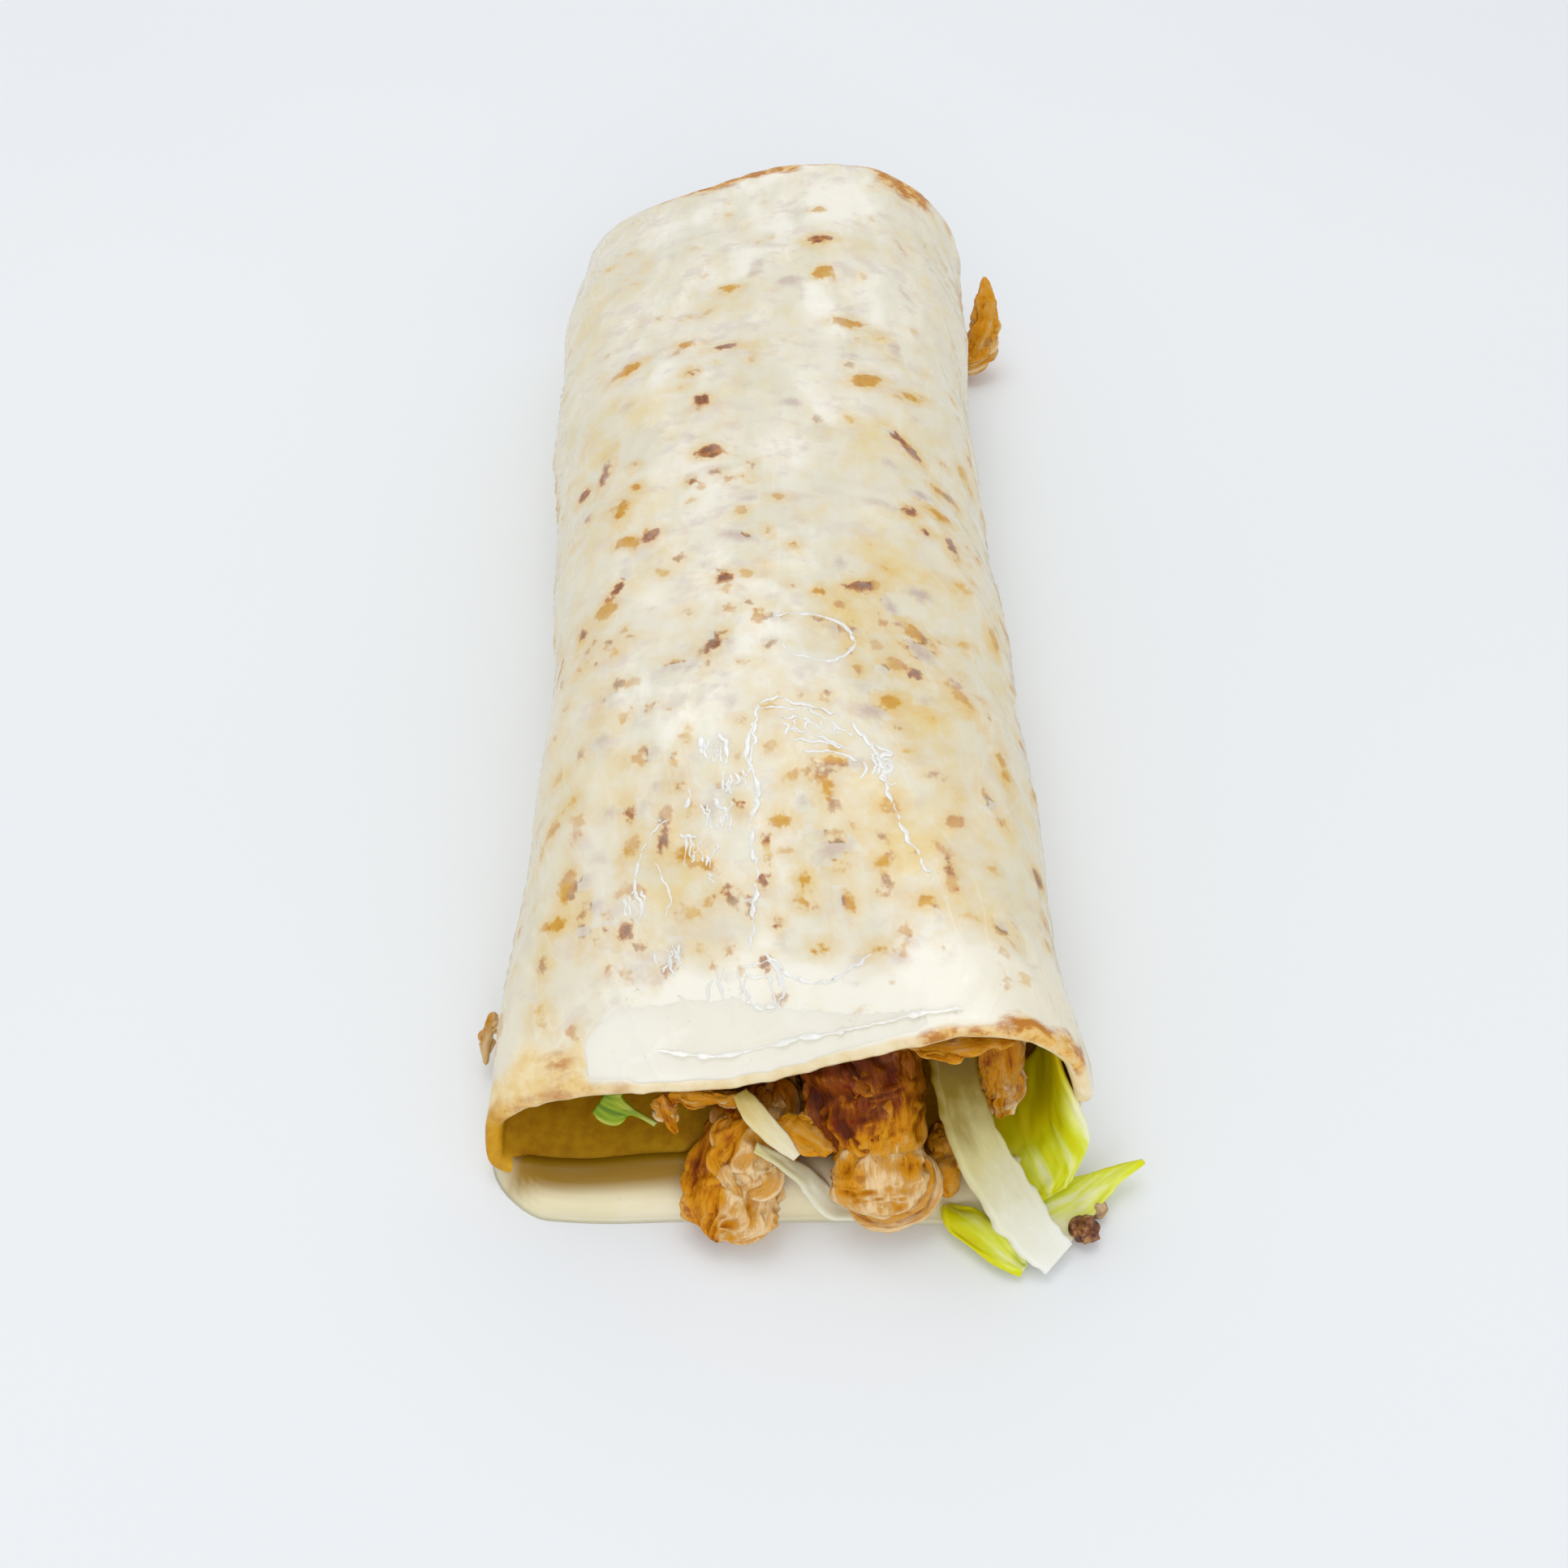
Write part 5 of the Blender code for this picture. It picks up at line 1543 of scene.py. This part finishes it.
STRIPS = (
    ("lettuce_rib", RIB, "lettuce_rib",
     [(22.6, -92.0, 25.2), (24.6, -98.4, 19.4), (28.2, -103.8, 12.2), (33.0, -108.6, 6.0),
      (38.4, -113.2, 1.9)],
     [6.0, 6.6, 7.4, 7.6, 5.4], 1.8, [10, 4, 0, -4, -8], dict(seed=201, rows=150, columns=60,
                                                          ends=(-0.7, 1.0), ribbed=0.05,
                                                          fine=0.35, veins=2.0)),
    ("lettuce_tail", LEAF, "lettuce",
     [(33.6, -109.6, 1.2), (37.8, -106.6, 1.5), (42.4, -104.2, 2.0), (46.8, -101.8, 3.2),
      (51.2, -100.0, 4.2)],
     [4.0, 8.6, 6.0, 3.4, 0.8], 0.9, [0, 0, 6, 14, 20],
     dict(seed=202, ruffle=0.2, veins=1.0, rim=(0.0, 0.7), ends=(0.9, -0.4))),
    ("lettuce_curl", LEAF, "lettuce",
     [(23.8, -105.6, 1.6), (25.4, -107.6, 2.4), (28.4, -110.2, 2.6), (31.4, -112.8, 2.2),
      (33.8, -114.4, 1.2)],
     [2.0, 4.6, 4.8, 4.0, 2.2], 0.8, [20, 0, -10, -16, 0],
     dict(seed=203, ruffle=1.1, phase=0.6, veins=1.0, rim=(0.45, -0.6), ends=(-0.7, 0.2))),
    ("lettuce_strip_cream", CREAMY, "lettuce_rib",
     [(-4.0, -97.4, 17.5), (-2.2, -100.0, 17.0), (0.9, -102.8, 15.4), (3.6, -104.8, 13.6)],
     [2.2, 3.0, 2.8, 1.2], 0.9, [0, -10, -20, -30], dict(seed=204, ribbed=0.1, fine=0.4,
                                                          ends=(-0.3, 0.7), veins=2.0)),
    ("lettuce_strip_clear", RIB, "lettuce_rib",
     [(-1.9, -103.5, 13.9), (1.2, -104.1, 11.6), (4.8, -104.2, 6.6), (8.2, -106.0, 2.3),
      (11.6, -106.8, 1.0)],
     [1.4, 2.0, 3.0, 3.4, 1.6], 0.8, [-10, -20, -20, -8, 0],
     dict(seed=205, ribbed=0.1, fine=0.4, ends=(0.1, 0.7), veins=2.0)),
    ("lettuce_bit_left", DEEP_LEAF, "lettuce",
     [(-15.4, -98.0, 9.6), (-17.6, -97.2, 10.6), (-19.0, -96.8, 11.0), (-20.8, -96.4, 11.0),
      (-23.0, -96.0, 12.2)],
     [0.8, 0.9, 1.8, 6.4, 4.4], 0.8, [60, 62, 64, 66, 68], dict(seed=206, rows=80,
                                                               ends=(0.7, -0.1))),
)
for node, leaf_kind, slot, spine, widths, thickness, tilts, options in STRIPS:
    body, fields = strip_body(spine, widths, thickness, tilts, **options)
    place_piece(f"{node}_strip", body, leaf_kind, [node], fields)

# %% [markdown]
# ## The filling inside
# Behind the pieces that stick out, the roll is packed from end to end with the same chicken
# and lettuce. Only the two ends can be seen. So each filling is a rough core, a little
# shorter than its solid, and both of its ends are heaped with real torn shreds and strips.

# %% Room inside the sheet
POCKET_BACK = -66.0
FILL_FRONT = -84.0
FILL_BACK = 94.0
SPLIT_X = 20.0
POCKET_X = -8.0
CORE_SHORT = 6.0
CORE_HEIGHT = 0.93


def room(y, x):
    """Floor and ceiling of the space inside the sheet at one y, over the given x."""
    table, inner = read_section(y)
    wall = table[:, :2] - (SHEET + GAP) * table[:, 2:4]
    top = wall[(table[:, 3] > 0.0) & ~inner]
    base = wall[table[:, 3] <= 0.0]
    order = np.argsort(top[:, 0])
    ceiling = np.interp(x, top[order, 0], top[order, 1])
    floor_z = np.array([base[np.abs(base[:, 0] - value) < 2.0, 1].max(initial=SHEET + GAP)
                        for value in x])
    return floor_z, ceiling, top[:, 0].min(), top[:, 0].max()


def walls(y):
    """Where the space inside the sheet starts and ends at one y, from left to right."""
    return room(y, np.array([0.0]))[2:]


def chicken_left(y):
    """The chicken's left side: beside the pocket at the mouth, then out to the wall."""
    return POCKET_X - 40.0 * smoothstep(POCKET_BACK, POCKET_BACK + 14.0, y)


def filling_core(left_of, right_of, seed, rows=90, columns=40, ease=0.8):
    """A closed heap that runs through the roll, ease smaller than its room, with rough skin."""
    rings = []
    for y in np.linspace(FILL_FRONT + CORE_SHORT, FILL_BACK - CORE_SHORT, rows):
        low_x, high_x = walls(y)
        x = np.linspace(max(left_of(y), low_x + 1.2) + ease, min(right_of(y), high_x - 1.2) - ease,
                        columns)
        floor_z, ceiling, _, _ = room(y, x)
        floor_z = smoothed_line(floor_z)
        thick = np.maximum(CORE_HEIGHT * (ceiling - floor_z), 2.0)
        z = np.concatenate([floor_z + 0.3, (floor_z + thick)[::-1]])
        rings.append(np.stack([np.concatenate([x, x[::-1]]), np.full_like(z, y), z], axis=-1))
    rings = np.array(rings)
    out = unit(rings - rings.mean(axis=1, keepdims=True))
    rough = cloud(rings[..., 1] / 5.0, rings[..., 0] / 4.0 + rings[..., 2] / 3.0, seed, 3)
    body = tube(rings + (0.9 * rough - 0.7)[..., None] * out)
    return body, body[0] * 0.4


def heap_places(y, left, right, count, seed):
    """Random places over the end of the filling, x and z, and the dice that go on from them."""
    dice = np.random.default_rng(seed)
    low_x, high_x = walls(y)
    x = dice.uniform(max(left, low_x + 3.5), min(right, high_x - 3.5), count)
    floor_z, ceiling, _, _ = room(y, x)
    share = dice.uniform(0.08, 0.92, count)
    return x, floor_z + 1.6 + share * np.maximum(ceiling - floor_z - 3.6, 0.5), dice


def end_spine(x, y, z, facing, long, dice):
    """A bent line through a place in the heap, leaning out of the end or lying across it."""
    way = unit(np.array([dice.uniform(-1.0, 1.0), facing * dice.uniform(0.1, 0.9),
                         dice.uniform(-0.7, 0.7)]))
    bend = dice.uniform(-1.6, 1.6, 3)
    spine = np.array([x, y, z]) + np.array([-0.5, 0.0, 0.5])[:, None] * long * way
    spine[1] += bend
    spine[:, 1] = np.minimum(spine[:, 1] * facing, (y + 2.5 * facing) * facing) * facing
    return spine


def kept_inside(spine, left, right, ease):
    """The line pushed back in, where it would pass the sheet's inner face."""
    spine = spine.copy()
    low_x, high_x = walls(spine[1, 1])
    spine[:, 0] = np.clip(spine[:, 0], max(left, low_x + ease), min(right, high_x - ease))
    floor_z, ceiling, _, _ = room(spine[1, 1], spine[:, 0])
    spine[:, 2] = np.clip(spine[:, 2], floor_z + 0.7 * ease, np.maximum(
        ceiling - ease, floor_z + 0.8 * ease))
    return spine


def end_shreds(y, facing, left, right, count, seed):
    """Torn shreds of chicken heaped in one end of the filling."""
    x, z, dice = heap_places(y, left, right, count, seed)
    made = []
    for i in range(count):
        wide = dice.uniform(1.3, 3.4)
        tall = dice.uniform(0.9, 2.0)
        deep = y - facing * dice.uniform(0.0, 4.5)
        spine = end_spine(x[i], deep, z[i], facing, dice.uniform(7.0, 15.0), dice)
        spine = kept_inside(spine, left, right + 1.0, wide + 0.6)
        sizes = [(0.8 * wide, tall), (1.1 * wide, 1.1 * tall), (0.7 * wide, 0.8 * tall)]
        made.append(shred(spine, sizes, seed + 7 * i, dice.uniform(0.25, 0.8), 26, 30, 0.6))
    return made


def end_strips(y, facing, left, right, count, seed):
    """Shredded lettuce heaped in one end of the filling: curled bands, their veins and grain."""
    x, z, dice = heap_places(y, left, right, count, seed)
    made = []
    for i in range(count):
        wide = dice.uniform(1.8, 5.0)
        deep = y - facing * dice.uniform(0.0, 4.5)
        spine = end_spine(x[i], deep, z[i], facing, dice.uniform(8.0, 16.0), dice)
        spine = kept_inside(spine, left, right, 0.4 * wide + 0.8)
        body, fields = strip_body(spine, [0.7 * wide, wide, 0.5 * wide], dice.uniform(0.5, 1.0),
                                  dice.uniform(-80.0, 80.0, 3), seed + 5 * i, rows=26,
                                  columns=12, ruffle=0.5)
        made.append((body, fields["vein"] + dice.uniform(-0.5, 0.9), fields["grain"]))
    return made


# %% Place the fillings
def chicken_filling():
    """The chicken's core and the shreds at both ends, as one piece with its grain."""
    core, core_grain = filling_core(chicken_left, lambda y: SPLIT_X - 0.5 * GAP, 301)
    made = [(core, core_grain, np.full(len(core_grain), 0.3))]
    for y, facing, left, count, seed in ((FILL_FRONT + 1.5, -1.0, POCKET_X, 30, 310),
                                         (FILL_BACK - 1.0, 1.0, -38.0, 84, 320)):
        made += end_shreds(y, facing, left, SPLIT_X - 2.5, count, seed)
    place_meat("chicken_filling_torn", made, "chicken_filling")


def lettuce_filling():
    """The lettuce's core and the strips at both ends, as one piece with veins and grain."""
    core, core_grain = filling_core(lambda y: SPLIT_X + 0.5 * GAP, lambda y: 60.0, 302)
    made = [(core, np.full(len(core_grain), 0.2), core_grain)]
    for y, facing, count, seed in ((FILL_FRONT + 1.5, -1.0, 24, 330),
                                   (FILL_BACK - 3.0, 1.0, 44, 340)):
        made += end_strips(y, facing, SPLIT_X + 2.0, 34.0, count, seed)
    parts, veins, grains = zip(*made)
    place_piece("lettuce_filling_shredded", joined(parts), LEAF, ["lettuce_filling"],
                {"vein": np.concatenate(veins), "grain": np.concatenate(grains)})


chicken_filling()
lettuce_filling()

# %% [markdown]
# ## The crumb
# A bit of browned crust has dropped beside the leaf's tip. It is a rough brown lump with
# small grains on it, so its surface is worked out with deep, fine noise.

# %% Crumb
def crumb_finish(name, dark, brown, light):
    """Toasted crumb with lighter grains."""
    f = Finish(name, IOR=1.45)
    spot = f.place()
    grains = f.noise(spot, 800.0, 3.0, 0.65)
    colour = f.ramp(grains, [(0.35, paint(*dark)), (0.5, paint(*brown)), (0.68, paint(*light))])
    return f.finish(Base_Color=colour, Roughness=0.3 + grains * 0.3,
                    Normal=f.bump(grains, 0.3, 0.8))


# piece, finish, its colours, spine, sizes, seed, rows, roughness and the node it replaces
CRUMBS = (
    ("crumb_brown", "brown_crumb", [(70, 34, 14), (124, 72, 36), (190, 138, 84)],
     [(41.8, -110.6, 1.7), (42.3, -109.2, 2.2), (43.3, -107.5, 2.1)],
     [(1.2, 1.3), (1.8, 1.8), (1.2, 1.3)], 401, 60, 0.3, ["crumb"]),
    ("crumb_seed", "tan_seed", [(150, 116, 76), (186, 154, 110), (214, 188, 150)],
     [(43.9, -106.9, 1.3), (44.6, -105.9, 1.6), (45.3, -104.9, 1.5)],
     [(0.9, 0.9), (1.3, 1.2), (0.9, 0.9)], 403, 30, 0.05, []),
)
for name, finish, colours, spine, sizes, seed, rows, rough, nodes in CRUMBS:
    body, _, _ = shred(spine, sizes, seed, rows=rows, around=rows, rough=rough)
    place_piece(name, body, crumb_finish(finish, *colours), nodes)
